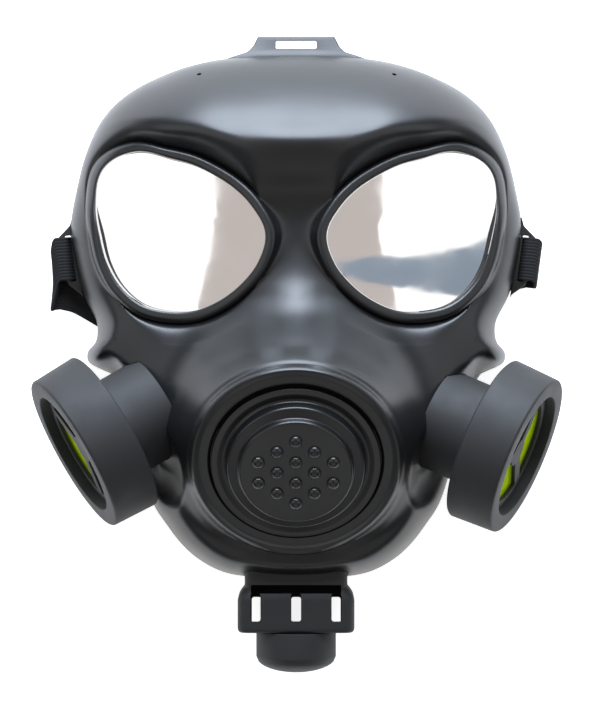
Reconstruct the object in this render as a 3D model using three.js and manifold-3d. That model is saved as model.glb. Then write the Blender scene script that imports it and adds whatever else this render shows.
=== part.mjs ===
// Costume gas mask with mirrored lenses, two side filters and a chin outlet.
// It lies face up on its rim: +Z points out of the face, +Y to the forehead. Millimetres.

import * as THREE from 'three';
import { mergeGeometries, mergeVertices } from 'three/addons/utils/BufferGeometryUtils.js';
import Module from 'manifold-3d';

const wasm = await Module();
wasm.setup();

// Driving dimensions of the shell
const HALF_WIDTH = 104.8;
const CROWN_REACH = 138.5;
const CHIN_REACH = 105.3;
const FACE_DEPTH = 60;
const WALL = 2.4;
const RIM_CENTRE_Y = 20;
const FIT = 0.3;

// Eyes
const EYE_X = 52;
const EYE_Y = 54;
const EYE_SIZE = 37;
const EYE_DEPTH = 40;
const EYE_SPLAY = 0.24;
const BEAD_WIDTH = 5.2;
const BEAD_HEIGHT = 3.2;
const SOCKET_SLOPE = 1.5;
const SOCKET_ROUND = 9;
const LENS_THICKNESS = 1;
const LENS_SINK = 0.7;

// Muzzle ring and speech disc
const MUZZLE_Y = -47.9;
const MUZZLE_DEPTH = 72;
const MUZZLE_TILT = THREE.MathUtils.degToRad(27);
const RING_RADIUS = 44;
const RING_LIP = 6;
const RING_HEIGHT = 3.2;
const FLANK_SLOPE = 1.7;
const VOICE_HOLE_RADIUS = 31;
const STEP_RADIUS = 30.8;
const STEP_HEIGHT = 4;
const STEP_EDGE = 1;
const CROWN_STEP_RADIUS = 25.2;
const CROWN_STEP_HEIGHT = 3.6;
const DISC_WALL = 2.3;
const STUD_RADIUS = 2.9;
const STUD_HEIGHT = 1.7;
const STUD_PITCH_X = 8.25;
const STUD_PITCH_Y = 10.4;
const STUD_COLUMNS = [2, 3, 4, 3, 2];

// Side filters: place of each drum's face on its own side, its droop and rise, and the turn of its grille
const FILTERS = {
  right: { face: [104.6, -46.6, 44.8], droop: 23.1, rise: 17.2, turn: 60 },
  left: { face: [101.5, -45.6, 44.8], droop: 29.8, rise: 15.4, turn: 30 },
};
const POCKET = { face: [103, -45.7, 44.8], droop: 26.5, rise: 16.3 };
const POCKET_DEPTH = 40;
const POCKET_RADIUS = 29;
const POCKET_SLOPE = 1.6;
const POCKET_ROUND = 5;
const DRUM_RADIUS = 38.3;
const DRUM_DRAFT = 1.1;
const DRUM_LENGTH = 22;
const DRUM_EDGE = 0.9;
const MOUTH_RADIUS = 28.9;
const MOUTH_DEPTH = 9;
const LEDGE = 2.6;
const FILTER_WALL = 2.5;
const NECK_RADIUS = 23.3;
const NECK_LENGTH = 24;
const GRILLE_RECESS = 4.6;
const GRILLE_THICKNESS = 2;
const GRILLE_RING = 4.2;
const GRILLE_SPOKE = 5;
const GRILLE_HUB = 6.5;
const PAD_THICKNESS = 1.6;

// Chin outlet
const OUTLET_DEPTH = 23;
const COLLAR_HALF_WIDTH = 26.6;
const COLLAR_HALF_DEPTH = 17;
const COLLAR_NECK_SHARE = 0.88;
const COLLAR_CORNER = 5;
const COLLAR_WALL = 2.2;
const COLLAR_TOP = 99;
const COLLAR_FLARE_START = 106.5;
const COLLAR_FLARE_END = 112.5;
const COLLAR_BOTTOM = 127;
const WINDOW_WIDTH = 4.5;
const WINDOW_TOP = 111;
const WINDOW_BOTTOM = 124;
const WINDOW_SPACING = 18.4;
const WINDOW_SLANT = 2.6;
const VENT_HALF_WIDTH = 20.6;
const VENT_TOP = 105.2;
const VENT_HEIGHT = 4;
const CAP_RADIUS = 18.3;
const CAP_LENGTH = 12;
const CAP_DOME = 7.3;
const SPIGOT_RADIUS = 13.6;
const SPIGOT_LENGTH = 2.6;

// Tabs and strap
const TAB_THICKNESS = 2.6;
const TOP_TAB_HALF_WIDTH = 18;
const TOP_TAB_HEIGHT = 9.2;
const TOP_TAB_FLARE = 11;
const TOP_SLOT_LENGTH = 19;
const TOP_SLOT_WIDTH = 3.8;
const SIDE_SLOT_LENGTH = 21.5;
const SIDE_SLOT_WIDTH = 3;
const SIDE_SLOT_GAP = 0.8;
const SIDE_BAR_WIDTH = 4.4;
const SIDE_TAB_Y = 44.5;
const SIDE_TAB_TILT = THREE.MathUtils.degToRad(7.7);
const HANG_HOLE_RADIUS = 1.1;
const HANG_HOLE = { x: 45, y: 128 };
const STRAP_WIDTH = 20;
const STRAP_THICKNESS = 1.4;

// Mesh fineness
const OUTLINE_SAMPLES = 720;
const CROWN_RAYS = 17;
const SEAM_RAYS = 8;
const BRIDGE_RAYS = 10;
const JAW_RAYS = 14;
const ROUND_SIDES = 26;
const PAD_SIDES = 24;
const HOLE_SIDES = 8;
const OUTLINE_STEPS = 240;
const RUN_STATIONS = 34;

const { lerp, clamp, smoothstep } = THREE.MathUtils;
const sum = (a, b) => a + b;

// Half outline from crown to chin, as shares of the half width and of the crown or chin reach
const OUTLINE = [
  { side: 0, up: 1 },
  { side: 0.22, up: 0.997 },
  { side: 0.4, up: 0.981 },
  { side: 0.565, up: 0.945 },
  { side: 0.747, up: 0.876 },
  { side: 0.858, up: 0.796 },
  { side: 0.933, up: 0.683 },
  { side: 0.976, up: 0.55 },
  { side: 1, up: 0.423 },
  { side: 0.984, up: 0.32 },
  { side: 0.945, up: 0.2 },
  { side: 0.885, up: 0.1 },
  { side: 0.892, up: 0.04 },
  { side: 0.929, up: 0.004 },
  { side: 0.927, up: -0.035 },
  { side: 0.888, up: -0.062 },
  { side: 0.825, up: -0.09 },
  { side: 0.765, up: -0.24 },
  { side: 0.715, up: -0.42 },
  { side: 0.637, up: -0.664 },
  { side: 0.577, up: -0.757 },
  { side: 0.511, up: -0.842 },
  { side: 0.438, up: -0.907 },
  { side: 0.324, up: -0.966 },
  { side: 0.17, up: -0.99 },
  { side: 0, up: -1 },
];
const CROWN_ROWS = 12;

// Rim by angle round the rim centre: lift off the ground and width of the rolled edge
const RIM = [
  { angle: -90, lift: 0, roll: 11 },
  { angle: -60, lift: 0, roll: 14 },
  { angle: -35, lift: 0, roll: 20 },
  { angle: -20, lift: 0, roll: 14 },
  { angle: -12, lift: 0, roll: 10 },
  { angle: -4, lift: 4, roll: 12 },
  { angle: 4, lift: 7, roll: 15 },
  { angle: 22, lift: 7, roll: 18 },
  { angle: 30, lift: 4, roll: 24 },
  { angle: 38, lift: 0, roll: 30 },
  { angle: 60, lift: 2, roll: 42 },
  { angle: 90, lift: 7, roll: 46 },
];

// Depth of the face form at shares of the half width, as shares of the face depth
const FORM_COLUMNS = [0, 0.06, 0.13, 0.25, 0.42, 0.61, 0.8, 1];
const FORM = [
  { up: -1, depth: [0.77, 0.77, 0.77, 0.75, 0.68, 0.55, 0.38, 0.24] },
  { up: -0.7, depth: [0.8, 0.8, 0.8, 0.79, 0.76, 0.66, 0.46, 0.28] },
  { up: -0.48, depth: [0.9, 0.9, 0.9, 0.9, 0.88, 0.78, 0.55, 0.32] },
  { up: -0.3, depth: [1.1, 1.1, 1.1, 1.05, 0.92, 0.84, 0.6, 0.35] },
  { up: -0.14, depth: [1.36, 1.36, 1.32, 1.1, 0.86, 0.78, 0.6, 0.36] },
  { up: 0.03, depth: [1.36, 1.33, 1.22, 0.97, 0.81, 0.72, 0.56, 0.37] },
  { up: 0.13, depth: [1.2, 1.15, 1.01, 0.83, 0.75, 0.67, 0.54, 0.38] },
  { up: 0.23, depth: [1.02, 0.97, 0.87, 0.78, 0.71, 0.63, 0.52, 0.4] },
  { up: 0.33, depth: [0.86, 0.84, 0.81, 0.76, 0.7, 0.63, 0.53, 0.42] },
  { up: 0.43, depth: [0.79, 0.79, 0.78, 0.76, 0.71, 0.64, 0.55, 0.44] },
  { up: 0.52, depth: [0.78, 0.78, 0.78, 0.77, 0.75, 0.67, 0.57, 0.46] },
  { up: 0.61, depth: [0.83, 0.83, 0.84, 0.86, 0.85, 0.76, 0.63, 0.5] },
  { up: 0.7, depth: [0.97, 0.97, 0.98, 0.97, 0.93, 0.83, 0.68, 0.52] },
  { up: 0.77, depth: [1, 1, 1, 0.98, 0.93, 0.83, 0.69, 0.52] },
  { up: 0.88, depth: [0.9, 0.9, 0.9, 0.88, 0.84, 0.76, 0.64, 0.5] },
  { up: 1, depth: [0.76, 0.76, 0.76, 0.75, 0.72, 0.67, 0.59, 0.47] },
];

// Eye outline: radius at each step of angle from the outer side, as a share of the eye size
const EYE_STEP = 20;
const EYE_RADII = [
  1.024, 1.148, 1.29, 1.186, 0.956, 0.861, 0.825, 0.856, 0.931,
  1.03, 1.004, 0.957, 0.94, 0.95, 0.96, 0.99, 0.99, 0.992,
];

// Route of the strap on the ground from its left to its right tab
const STRAP_ROUTE = [
  [-101, 28.5], [-90, 22.5], [-74, 12.5], [-54, -0.5], [-30, -12], [-6, -17],
  [20, -14.5], [44, -3.5], [64, 12], [80, 27], [92, 37],
];

function shellY(share) {
  return share > 0 ? share * CROWN_REACH : share * CHIN_REACH;
}

// Smooth curve through values at rising stations
function blendAlong(stations, values, at) {
  const last = stations.length - 1;
  const x = clamp(at, stations[0], stations[last]);
  let i = 0;
  while (i < last - 1 && x > stations[i + 1]) {
    i += 1;
  }
  const slope = (k) => {
    const a = Math.max(k - 1, 0);
    const b = Math.min(k + 1, last);
    return (values[b] - values[a]) / (stations[b] - stations[a]);
  };
  const span = stations[i + 1] - stations[i];
  const t = (x - stations[i]) / span;
  const t2 = t * t;
  const t3 = t2 * t;
  return values[i] * (2 * t3 - 3 * t2 + 1) + slope(i) * span * (t3 - 2 * t2 + t)
    + values[i + 1] * (3 * t2 - 2 * t3) + slope(i + 1) * span * (t3 - t2);
}

function softMax(a, b, reach) {
  const h = Math.max(reach - Math.abs(a - b), 0);
  return Math.max(a, b) + (h * h) / (4 * reach);
}

// Outline curve of the whole rim, counterclockwise from the crown
const outlinePoints = OUTLINE.map(({ side, up }) => new THREE.Vector3(side * HALF_WIDTH, shellY(up), 0));
const mirroredPoints = outlinePoints.slice(1, -1).map((p) => new THREE.Vector3(-p.x, p.y, 0));
const outlineCurve = new THREE.CatmullRomCurve3(
  [...mirroredPoints, outlinePoints.at(-1), ...outlinePoints.slice(1, -1).reverse(), outlinePoints[0]],
  true,
  'centripetal',
);
const rimSamples = outlineCurve.getPoints(OUTLINE_SAMPLES)
  .map((p) => ({ angle: Math.atan2(p.y - RIM_CENTRE_Y, p.x), radius: Math.hypot(p.x, p.y - RIM_CENTRE_Y) }))
  .filter((p) => Math.abs(p.angle) <= Math.PI / 2 + 0.03)
  .sort((p, q) => p.angle - q.angle);

function rimRadius(angle) {
  let low = 0;
  let high = rimSamples.length - 1;
  while (high - low > 1) {
    const middle = (low + high) >> 1;
    if (rimSamples[middle].angle > angle) {
      high = middle;
    } else {
      low = middle;
    }
  }
  const p = rimSamples[low];
  const q = rimSamples[high];
  return lerp(p.radius, q.radius, clamp((angle - p.angle) / (q.angle - p.angle || 1), 0, 1));
}

const rimRows = [{ ...RIM[1], angle: -120 }, ...RIM, { ...RIM.at(-2), angle: 120 }];
const rimAngles = rimRows.map((row) => row.angle);
const rimLifts = rimRows.map((row) => row.lift);
const rimRolls = rimRows.map((row) => row.roll);

function rimLift(x, y) {
  const angle = THREE.MathUtils.radToDeg(Math.atan2(y - RIM_CENTRE_Y, Math.abs(x)));
  return Math.max(blendAlong(rimAngles, rimLifts, angle), 0);
}

// Share of the full depth that the rolled edge leaves at a point
function rollShare(x, y) {
  const angle = Math.atan2(y - RIM_CENTRE_Y, Math.abs(x));
  const inward = rimRadius(angle) - Math.hypot(x, y - RIM_CENTRE_Y);
  const roll = blendAlong(rimAngles, rimRolls, THREE.MathUtils.radToDeg(angle));
  const u = clamp(inward / roll, 0, 1);
  return Math.sqrt(1 - (1 - u) ** 2);
}

const formColumns = [-FORM_COLUMNS[2], -FORM_COLUMNS[1], ...FORM_COLUMNS];
const formRows = FORM.map((row) => shellY(row.up));

function faceForm(x, y) {
  const across = Math.abs(x) / HALF_WIDTH;
  const along = FORM.map(({ depth }) => blendAlong(formColumns, [depth[2], depth[1], ...depth], across));
  return blendAlong(formRows, along, y) * FACE_DEPTH;
}

const eyeAngles = Array.from({ length: EYE_RADII.length + 5 }, (_, i) => (i - 2) * EYE_STEP);
const eyeShares = eyeAngles.map((_, i) => EYE_RADII[(i - 2 + EYE_RADII.length) % EYE_RADII.length]);

function eyeRadius(angle) {
  const degrees = (THREE.MathUtils.radToDeg(angle) + 360) % 360;
  return blendAlong(eyeAngles, eyeShares, degrees) * EYE_SIZE;
}

// Distance outside the eye outline
function eyeDistance(x, y) {
  const dx = Math.abs(x) - EYE_X;
  const dy = y - EYE_Y;
  return Math.hypot(dx, dy) - eyeRadius(Math.atan2(dy, dx));
}

function eyePlane(x) {
  return EYE_DEPTH - EYE_SPLAY * (Math.abs(x) - EYE_X);
}

// Distance from the muzzle axis, measured in the tilted muzzle plane
function muzzleReach(x, y) {
  return Math.hypot(x, (y - MUZZLE_Y) / Math.cos(MUZZLE_TILT));
}

function muzzlePlane(y) {
  return MUZZLE_DEPTH + (y - MUZZLE_Y) * Math.tan(MUZZLE_TILT);
}

// Height of the ring measured straight up instead of along the muzzle axis
const ringDrop = RING_HEIGHT / Math.cos(MUZZLE_TILT);

function lipRise(reach) {
  const inner = RING_RADIUS - RING_LIP;
  const rise = smoothstep(reach, inner, inner + 1.2);
  const fall = smoothstep(reach, RING_RADIUS - 1.6, RING_RADIUS + 1.6);
  return ringDrop * rise * (1 - 0.25 * fall);
}

function aim({ droop, rise }) {
  const down = THREE.MathUtils.degToRad(droop);
  const up = THREE.MathUtils.degToRad(rise);
  return new THREE.Vector3(Math.cos(up) * Math.cos(down), -Math.cos(up) * Math.sin(down), Math.sin(up));
}

const pocketAxis = aim(POCKET);
const pocketMiddle = new THREE.Vector3(...POCKET.face).addScaledVector(pocketAxis, -POCKET_DEPTH);

// Height of the flat pocket that a filter's neck enters, flared beyond its radius
function pocketHeight(x, y) {
  const dx = Math.abs(x) - pocketMiddle.x;
  const dy = y - pocketMiddle.y;
  const rise = -(pocketAxis.x * dx + pocketAxis.y * dy) / pocketAxis.z;
  const reach = Math.hypot(dx, dy, rise);
  return pocketMiddle.z + rise + POCKET_SLOPE * Math.max(reach - POCKET_RADIUS, 0);
}

// Height of the moulded surface, with or without the eye beads and the ring lip
function surfaceHeight(x, y, detailed) {
  const reach = muzzleReach(x, y);
  const flank = muzzlePlane(y) - FLANK_SLOPE * Math.max(reach - RING_RADIUS, 0);
  const cone = Math.min(flank, muzzlePlane(y) - ringDrop);
  const blend = 10 * clamp((reach - RING_RADIUS) / 8, 0.0001, 1);
  const whole = reach < RING_RADIUS ? cone : softMax(cone, faceForm(x, y), blend);
  const face = -softMax(-whole, -pocketHeight(x, y), POCKET_ROUND);
  const distance = eyeDistance(x, y);
  const outside = Math.max(distance - BEAD_WIDTH, 0);
  const fillet = SOCKET_ROUND * clamp(outside / SOCKET_ROUND, 0.0001, 1);
  const sunk = -softMax(-face, -(eyePlane(x) + SOCKET_SLOPE * outside), fillet);
  let height = softMax(sunk, eyePlane(x) - SOCKET_SLOPE * outside, fillet);
  if (detailed) {
    const across = clamp((distance - BEAD_WIDTH / 2) / (BEAD_WIDTH / 2), -1, 1);
    height += BEAD_HEIGHT * Math.sqrt(1 - across ** 2) + (across < 0 ? BEAD_HEIGHT * 0.5 * across ** 2 : 0);
    height += reach < RING_RADIUS + 4 ? lipRise(reach) : 0;
  }
  const lift = rimLift(x, y);
  return lift + (height - lift) * rollShare(x, y);
}

function surfaceNormal(x, y) {
  const h = 0.5;
  const dx = (surfaceHeight(x + h, y, false) - surfaceHeight(x - h, y, false)) / (2 * h);
  const dy = (surfaceHeight(x, y + h, false) - surfaceHeight(x, y - h, false)) / (2 * h);
  return new THREE.Vector3(-dx, -dy, 1).normalize();
}

// Closed mesh helpers
function toSolid(geometry) {
  const bare = geometry.index ? geometry.clone() : geometry;
  bare.deleteAttribute('normal');
  bare.deleteAttribute('uv');
  const merged = mergeVertices(bare, 1e-4);
  return new wasm.Manifold(new wasm.Mesh({
    numProp: 3,
    vertProperties: Float32Array.from(merged.attributes.position.array),
    triVerts: Uint32Array.from(merged.index.array),
  }));
}

function toGeometry(solid) {
  const mesh = solid.getMesh();
  const geometry = new THREE.BufferGeometry();
  geometry.setAttribute('position', new THREE.BufferAttribute(Float32Array.from(mesh.vertProperties), 3));
  geometry.setIndex(new THREE.BufferAttribute(Uint32Array.from(mesh.triVerts), 1));
  geometry.computeVertexNormals();
  return geometry;
}

function box(x0, x1, y0, y1, z0, z1) {
  const geometry = new THREE.BoxGeometry(x1 - x0, y1 - y0, z1 - z0);
  return geometry.translate((x0 + x1) / 2, (y0 + y1) / 2, (z0 + z1) / 2);
}

// Flat plate from an outline, standing on z0
function plate(points, z0, thickness, holes = []) {
  const shape = new THREE.Shape(points);
  shape.holes = holes.map((hole) => new THREE.Path(hole));
  return new THREE.ExtrudeGeometry(shape, { depth: thickness, bevelEnabled: false }).translate(0, 0, z0);
}

function mirrorX(geometry) {
  const mirrored = geometry.clone().scale(-1, 1, 1);
  const index = mirrored.index;
  const count = index ? index.count : mirrored.attributes.position.count;
  if (!index) {
    mirrored.setIndex([...Array(count).keys()]);
  }
  const order = mirrored.index.array;
  for (let i = 0; i < count; i += 3) {
    const swap = order[i];
    order[i] = order[i + 2];
    order[i + 2] = swap;
  }
  return mirrored;
}

// Turned part: profile points are radius and height along +Z, closed on itself or on the axis
function turned(profile, sides = ROUND_SIDES) {
  const lathe = new THREE.LatheGeometry(profile.map(([r, h]) => new THREE.Vector2(r, h)), sides);
  lathe.deleteAttribute('normal');
  lathe.deleteAttribute('uv');
  return mergeVertices(lathe.rotateX(Math.PI / 2), 1e-4);
}

// Boundary points shared by the patches of the shell
const crownEnd = outlinePoints[CROWN_ROWS - 1];
const bridge = new THREE.Vector2(0, 24);
const seamCurve = new THREE.QuadraticBezierCurve(
  bridge,
  new THREE.Vector2(EYE_X, EYE_Y - 60),
  new THREE.Vector2(crownEnd.x, crownEnd.y),
);
const halfCurve = new THREE.CatmullRomCurve3(
  [mirroredPoints[0], ...outlinePoints, mirroredPoints.at(-1)],
  false,
  'centripetal',
);

// Points of the half outline between two of its rows, evenly spaced
function outlineStretch(first, last, count) {
  const rows = outlinePoints.length + 1;
  const dense = Array.from({ length: OUTLINE_STEPS + 1 }, (_, i) => {
    const p = halfCurve.getPoint(lerp(first + 1, last + 1, i / OUTLINE_STEPS) / rows);
    return new THREE.Vector3(p.x, p.y, 0);
  });
  const lengths = dense.map((p, i) => (i ? p.distanceTo(dense[i - 1]) : 0));
  const total = lengths.reduce(sum);
  const points = [];
  let walked = 0;
  let k = 0;
  for (let i = 0; i <= count; i += 1) {
    const goal = (total * i) / count;
    while (k < OUTLINE_STEPS && walked + lengths[k + 1] < goal - 1e-9) {
      k += 1;
      walked += lengths[k];
    }
    const share = clamp((goal - walked) / (lengths[k + 1] || 1), 0, 1);
    points.push(new THREE.Vector2().lerpVectors(dense[k], dense[Math.min(k + 1, OUTLINE_STEPS)], share));
  }
  return points;
}

const crownEdge = outlineStretch(0, CROWN_ROWS - 1, CROWN_RAYS);
const jawEdge = outlineStretch(CROWN_ROWS - 1, outlinePoints.length - 1, JAW_RAYS);
crownEdge[0].x = 0;
jawEdge[JAW_RAYS].x = 0;
jawEdge[0].copy(crownEdge[CROWN_RAYS]);
// Steps that draw closer together towards the rim, where the edge rolls over
const towardsRim = (i, count) => 1 - (1 - i / count) ** 1.7;
const seamEdge = Array.from({ length: SEAM_RAYS + 1 }, (_, i) => (
  seamCurve.getPoint(towardsRim(i, SEAM_RAYS))
)).reverse();
seamEdge[0].copy(crownEdge[CROWN_RAYS]);
const bridgeEdge = Array.from({ length: BRIDGE_RAYS + 1 }, (_, i) => (
  new THREE.Vector2(0, lerp(bridge.y, crownEdge[0].y, towardsRim(i, BRIDGE_RAYS)))
));
const onRim = new Set([...crownEdge, ...jawEdge].map((p) => `${p.x.toFixed(4)} ${p.y.toFixed(4)}`));
const isRim = (x, y) => onRim.has(`${Math.abs(x).toFixed(4)} ${y.toFixed(4)}`);

// One ring shaped patch from a hole to its boundary, given near steps in mm and then shares of the rest
function patch(centre, boundary, reachOf, holeOf, near, shares) {
  const start = near.at(-1);
  return boundary.map((edge) => {
    const full = reachOf(edge);
    const hole = holeOf(edge);
    const reaches = [...near.map((n) => hole + n), ...shares.map((s) => lerp(hole + start, full, s))];
    return reaches.map((reach) => (
      reach === full ? edge.clone() : edge.clone().sub(centre).multiplyScalar(reach / full).add(centre)
    ));
  });
}

// Outer and inner sheet of a patch, closed along its rim and its hole, whose wall runs along the hole's axis
function patchSheets(rays, holeAxis) {
  const positions = [];
  const steps = rays[0].length;
  const outer = [];
  const inner = [];
  for (const [i, p] of rays.flat().entries()) {
    const rim = isRim(p.x, p.y);
    const lift = rimLift(p.x, p.y);
    outer.push(positions.length / 3);
    positions.push(p.x, p.y, rim ? lift : surfaceHeight(p.x, p.y, true));
    const n = i % steps === 0 ? holeAxis.clone() : surfaceNormal(p.x, p.y);
    const base = rim ? lift : surfaceHeight(p.x, p.y, false);
    if (rim) {
      n.z = 0;
      n.normalize();
    }
    if (p.x === 0) {
      n.x = 0;
    }
    inner.push(positions.length / 3);
    positions.push(p.x - n.x * WALL, p.y - n.y * WALL, Math.max(base - n.z * WALL, lift));
  }
  const index = [];
  const quad = (a, b, c, d) => index.push(a, b, c, a, c, d);
  for (let i = 0; i < rays.length; i += 1) {
    const a = i * steps;
    const b = ((i + 1) % rays.length) * steps;
    for (let j = 0; j < steps - 1; j += 1) {
      quad(outer[a + j], outer[a + j + 1], outer[b + j + 1], outer[b + j]);
      quad(inner[a + j], inner[b + j], inner[b + j + 1], inner[a + j + 1]);
    }
    quad(outer[a], outer[b], inner[b], inner[a]);
    const p = rays[i][steps - 1];
    const q = rays[(i + 1) % rays.length][steps - 1];
    if (isRim(p.x, p.y) && isRim(q.x, q.y)) {
      const end = steps - 1;
      quad(outer[b + end], outer[a + end], inner[a + end], inner[b + end]);
    }
  }
  const geometry = new THREE.BufferGeometry();
  geometry.setAttribute('position', new THREE.Float32BufferAttribute(positions, 3));
  geometry.setIndex(index);
  return geometry;
}

const eyeCentre = new THREE.Vector2(EYE_X, EYE_Y);
const eyeReach = (p) => p.distanceTo(eyeCentre);
const eyeHole = (p) => eyeRadius(Math.atan2(p.y - EYE_Y, p.x - EYE_X));
const eyeBoundary = [
  ...crownEdge.slice(1).reverse(),
  ...bridgeEdge.slice(1).reverse(),
  ...seamEdge.slice(1).reverse(),
];

function shellSheets() {
  const eyeNear = [0, 1.1, BEAD_WIDTH / 2, 4.1, BEAD_WIDTH];
  const eyeRays = patch(eyeCentre, eyeBoundary, eyeReach, eyeHole, eyeNear, [0.25, 0.5, 0.74, 0.92, 1]);
  const eyePatch = patchSheets(eyeRays, new THREE.Vector3(0, 0, 1));
  const mirrored = (points) => points.map((p) => new THREE.Vector2(-p.x, p.y));
  const rightSide = [...jawEdge.slice(1).reverse(), ...seamEdge];
  const leftSide = mirrored(rightSide.slice(1, -1)).reverse();
  const muzzleNear = [0, 6.3, 7.1, 8.4, 11.4, 13.6, 17];
  const muzzleRays = patch(
    new THREE.Vector2(0, MUZZLE_Y),
    [...rightSide, ...leftSide],
    (p) => muzzleReach(p.x, p.y),
    () => VOICE_HOLE_RADIUS,
    muzzleNear,
    [0.25, 0.5, 0.74, 0.92, 1],
  );
  const muzzleAxis = new THREE.Vector3(0, -Math.sin(MUZZLE_TILT), Math.cos(MUZZLE_TILT));
  const muzzlePatch = patchSheets(muzzleRays, muzzleAxis);
  return mergeGeometries([eyePatch, mirrorX(eyePatch), muzzlePatch]);
}

// Frame of a filter as if on the right side: its origin at the drum's face, +Z out of the face
function filterMatrix(side) {
  const out = aim(FILTERS[side]);
  const along = new THREE.Vector3(0, 0, 1).cross(out).normalize();
  const up = new THREE.Vector3().crossVectors(out, along);
  return new THREE.Matrix4().makeBasis(along, up, out).setPosition(...FILTERS[side].face);
}

// Frame of the speech disc: its origin in the middle of the seat inside the ring, +Z along the muzzle axis
function muzzleMatrix() {
  const origin = new THREE.Vector3(0, MUZZLE_Y, MUZZLE_DEPTH - ringDrop);
  return new THREE.Matrix4().makeRotationX(MUZZLE_TILT).setPosition(origin);
}

// Rounded rectangle section of the chin collar
function roundedSection(halfWidth, halfDepth, corner) {
  const points = [];
  for (const [sx, sz, start] of [[1, 1, 0], [-1, 1, 90], [-1, -1, 180], [1, -1, 270]]) {
    for (let step = 0; step <= 3; step += 1) {
      const turn = THREE.MathUtils.degToRad(start + step * 30);
      points.push([
        sx * (halfWidth - corner) + corner * Math.cos(turn),
        sz * (halfDepth - corner) + corner * Math.sin(turn),
      ]);
    }
  }
  return points;
}

// Solid through sections that share one point count, capped at both ends
function loft(sections) {
  const count = sections[0].length;
  const positions = sections.flat(2);
  const index = [];
  for (let s = 0; s < sections.length - 1; s += 1) {
    for (let i = 0; i < count; i += 1) {
      const a = s * count + i;
      const b = s * count + ((i + 1) % count);
      index.push(a, b, b + count, a, b + count, a + count);
    }
  }
  const last = (sections.length - 1) * count;
  for (let i = 1; i < count - 1; i += 1) {
    index.push(0, i + 1, i, last, last + i, last + i + 1);
  }
  const geometry = new THREE.BufferGeometry();
  geometry.setAttribute('position', new THREE.Float32BufferAttribute(positions, 3));
  geometry.setIndex(index);
  return geometry;
}

// Section of the collar at a distance below the origin line
function collarSection(drop, share, inset) {
  const corner = Math.max(COLLAR_CORNER - inset, 1);
  return roundedSection(COLLAR_HALF_WIDTH * share - inset, COLLAR_HALF_DEPTH * share - inset, corner)
    .map(([x, z]) => [x, -drop, OUTLET_DEPTH + z]);
}

function collarNeck(inset, top) {
  const share = COLLAR_NECK_SHARE;
  return loft([collarSection(top, share, inset), collarSection(COLLAR_FLARE_START, share, inset)]);
}

function collarGeometry() {
  const sections = (inset, top, bottom) => [
    collarSection(top, COLLAR_NECK_SHARE, inset),
    collarSection(COLLAR_FLARE_START, COLLAR_NECK_SHARE, inset),
    collarSection(lerp(COLLAR_FLARE_START, COLLAR_FLARE_END, 0.6), 0.97, inset),
    collarSection(COLLAR_FLARE_END, 1, inset),
    collarSection(bottom - 2, 1, inset),
    collarSection(bottom, 1, inset + 1.6),
  ];
  let solid = toSolid(loft(sections(0, COLLAR_TOP, COLLAR_BOTTOM)));
  solid = solid.subtract(toSolid(loft(sections(COLLAR_WALL, COLLAR_TOP - 1, COLLAR_BOTTOM - COLLAR_WALL))));
  const bore = turned([[0, -COLLAR_WALL * 3], [SPIGOT_RADIUS + FIT, -COLLAR_WALL * 3],
    [SPIGOT_RADIUS + FIT, COLLAR_WALL], [0, COLLAR_WALL]]);
  solid = solid.subtract(toSolid(bore.applyMatrix4(outletMatrix())));
  for (const column of [-1, 0, 1]) {
    const x = column * WINDOW_SPACING;
    const z = COLLAR_HALF_DEPTH + 1;
    const cutter = box(x - WINDOW_WIDTH / 2, x + WINDOW_WIDTH / 2, -WINDOW_BOTTOM, -WINDOW_TOP, -z, z);
    const slant = new THREE.Matrix4().makeShear(0, 0, 0, 0, 0, WINDOW_SLANT / z);
    slant.setPosition(0, 0, OUTLET_DEPTH);
    solid = solid.subtract(toSolid(cutter.applyMatrix4(slant)));
  }
  return toGeometry(solid.subtract(toSolid(box(-VENT_HALF_WIDTH, VENT_HALF_WIDTH,
    -VENT_TOP - VENT_HEIGHT, -VENT_TOP,
    OUTLET_DEPTH + COLLAR_HALF_DEPTH / 2, OUTLET_DEPTH + 2 * COLLAR_HALF_DEPTH))));
}

// Frame of the outlet cap: its origin on the collar's bottom face, +Z down the outlet
function outletMatrix() {
  return new THREE.Matrix4().makeRotationX(Math.PI / 2).setPosition(0, -COLLAR_BOTTOM, OUTLET_DEPTH);
}

function capGeometry() {
  const inner = CAP_RADIUS - COLLAR_WALL;
  const dome = (radius, top, height) => [0.94, 0.72, 0.4, 0].map((share) => (
    [radius * share, top + height * Math.sqrt(1 - share ** 2)]
  ));
  return turned([
    [SPIGOT_RADIUS - COLLAR_WALL, -SPIGOT_LENGTH],
    [SPIGOT_RADIUS, -SPIGOT_LENGTH],
    [SPIGOT_RADIUS, FIT],
    [CAP_RADIUS, FIT],
    [CAP_RADIUS, CAP_LENGTH],
    ...dome(CAP_RADIUS, CAP_LENGTH, CAP_DOME),
    ...dome(inner, CAP_LENGTH, CAP_DOME - COLLAR_WALL).reverse(),
    [inner, CAP_LENGTH],
    [inner, FIT + COLLAR_WALL],
    [SPIGOT_RADIUS - COLLAR_WALL, FIT + COLLAR_WALL],
    [SPIGOT_RADIUS - COLLAR_WALL, -SPIGOT_LENGTH],
  ]).applyMatrix4(outletMatrix());
}

// Side tab in its own frame: origin at the slot's middle, +X outward, +Y along the slot
function sideTabMatrix() {
  const angle = Math.atan2(SIDE_TAB_Y - RIM_CENTRE_Y, HALF_WIDTH);
  const radius = rimRadius(angle);
  const x = radius * Math.cos(angle) + SIDE_SLOT_GAP + SIDE_SLOT_WIDTH / 2;
  const y = RIM_CENTRE_Y + radius * Math.sin(angle);
  return new THREE.Matrix4().makeRotationZ(-SIDE_TAB_TILT).setPosition(x, y, rimLift(x, y));
}

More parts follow.
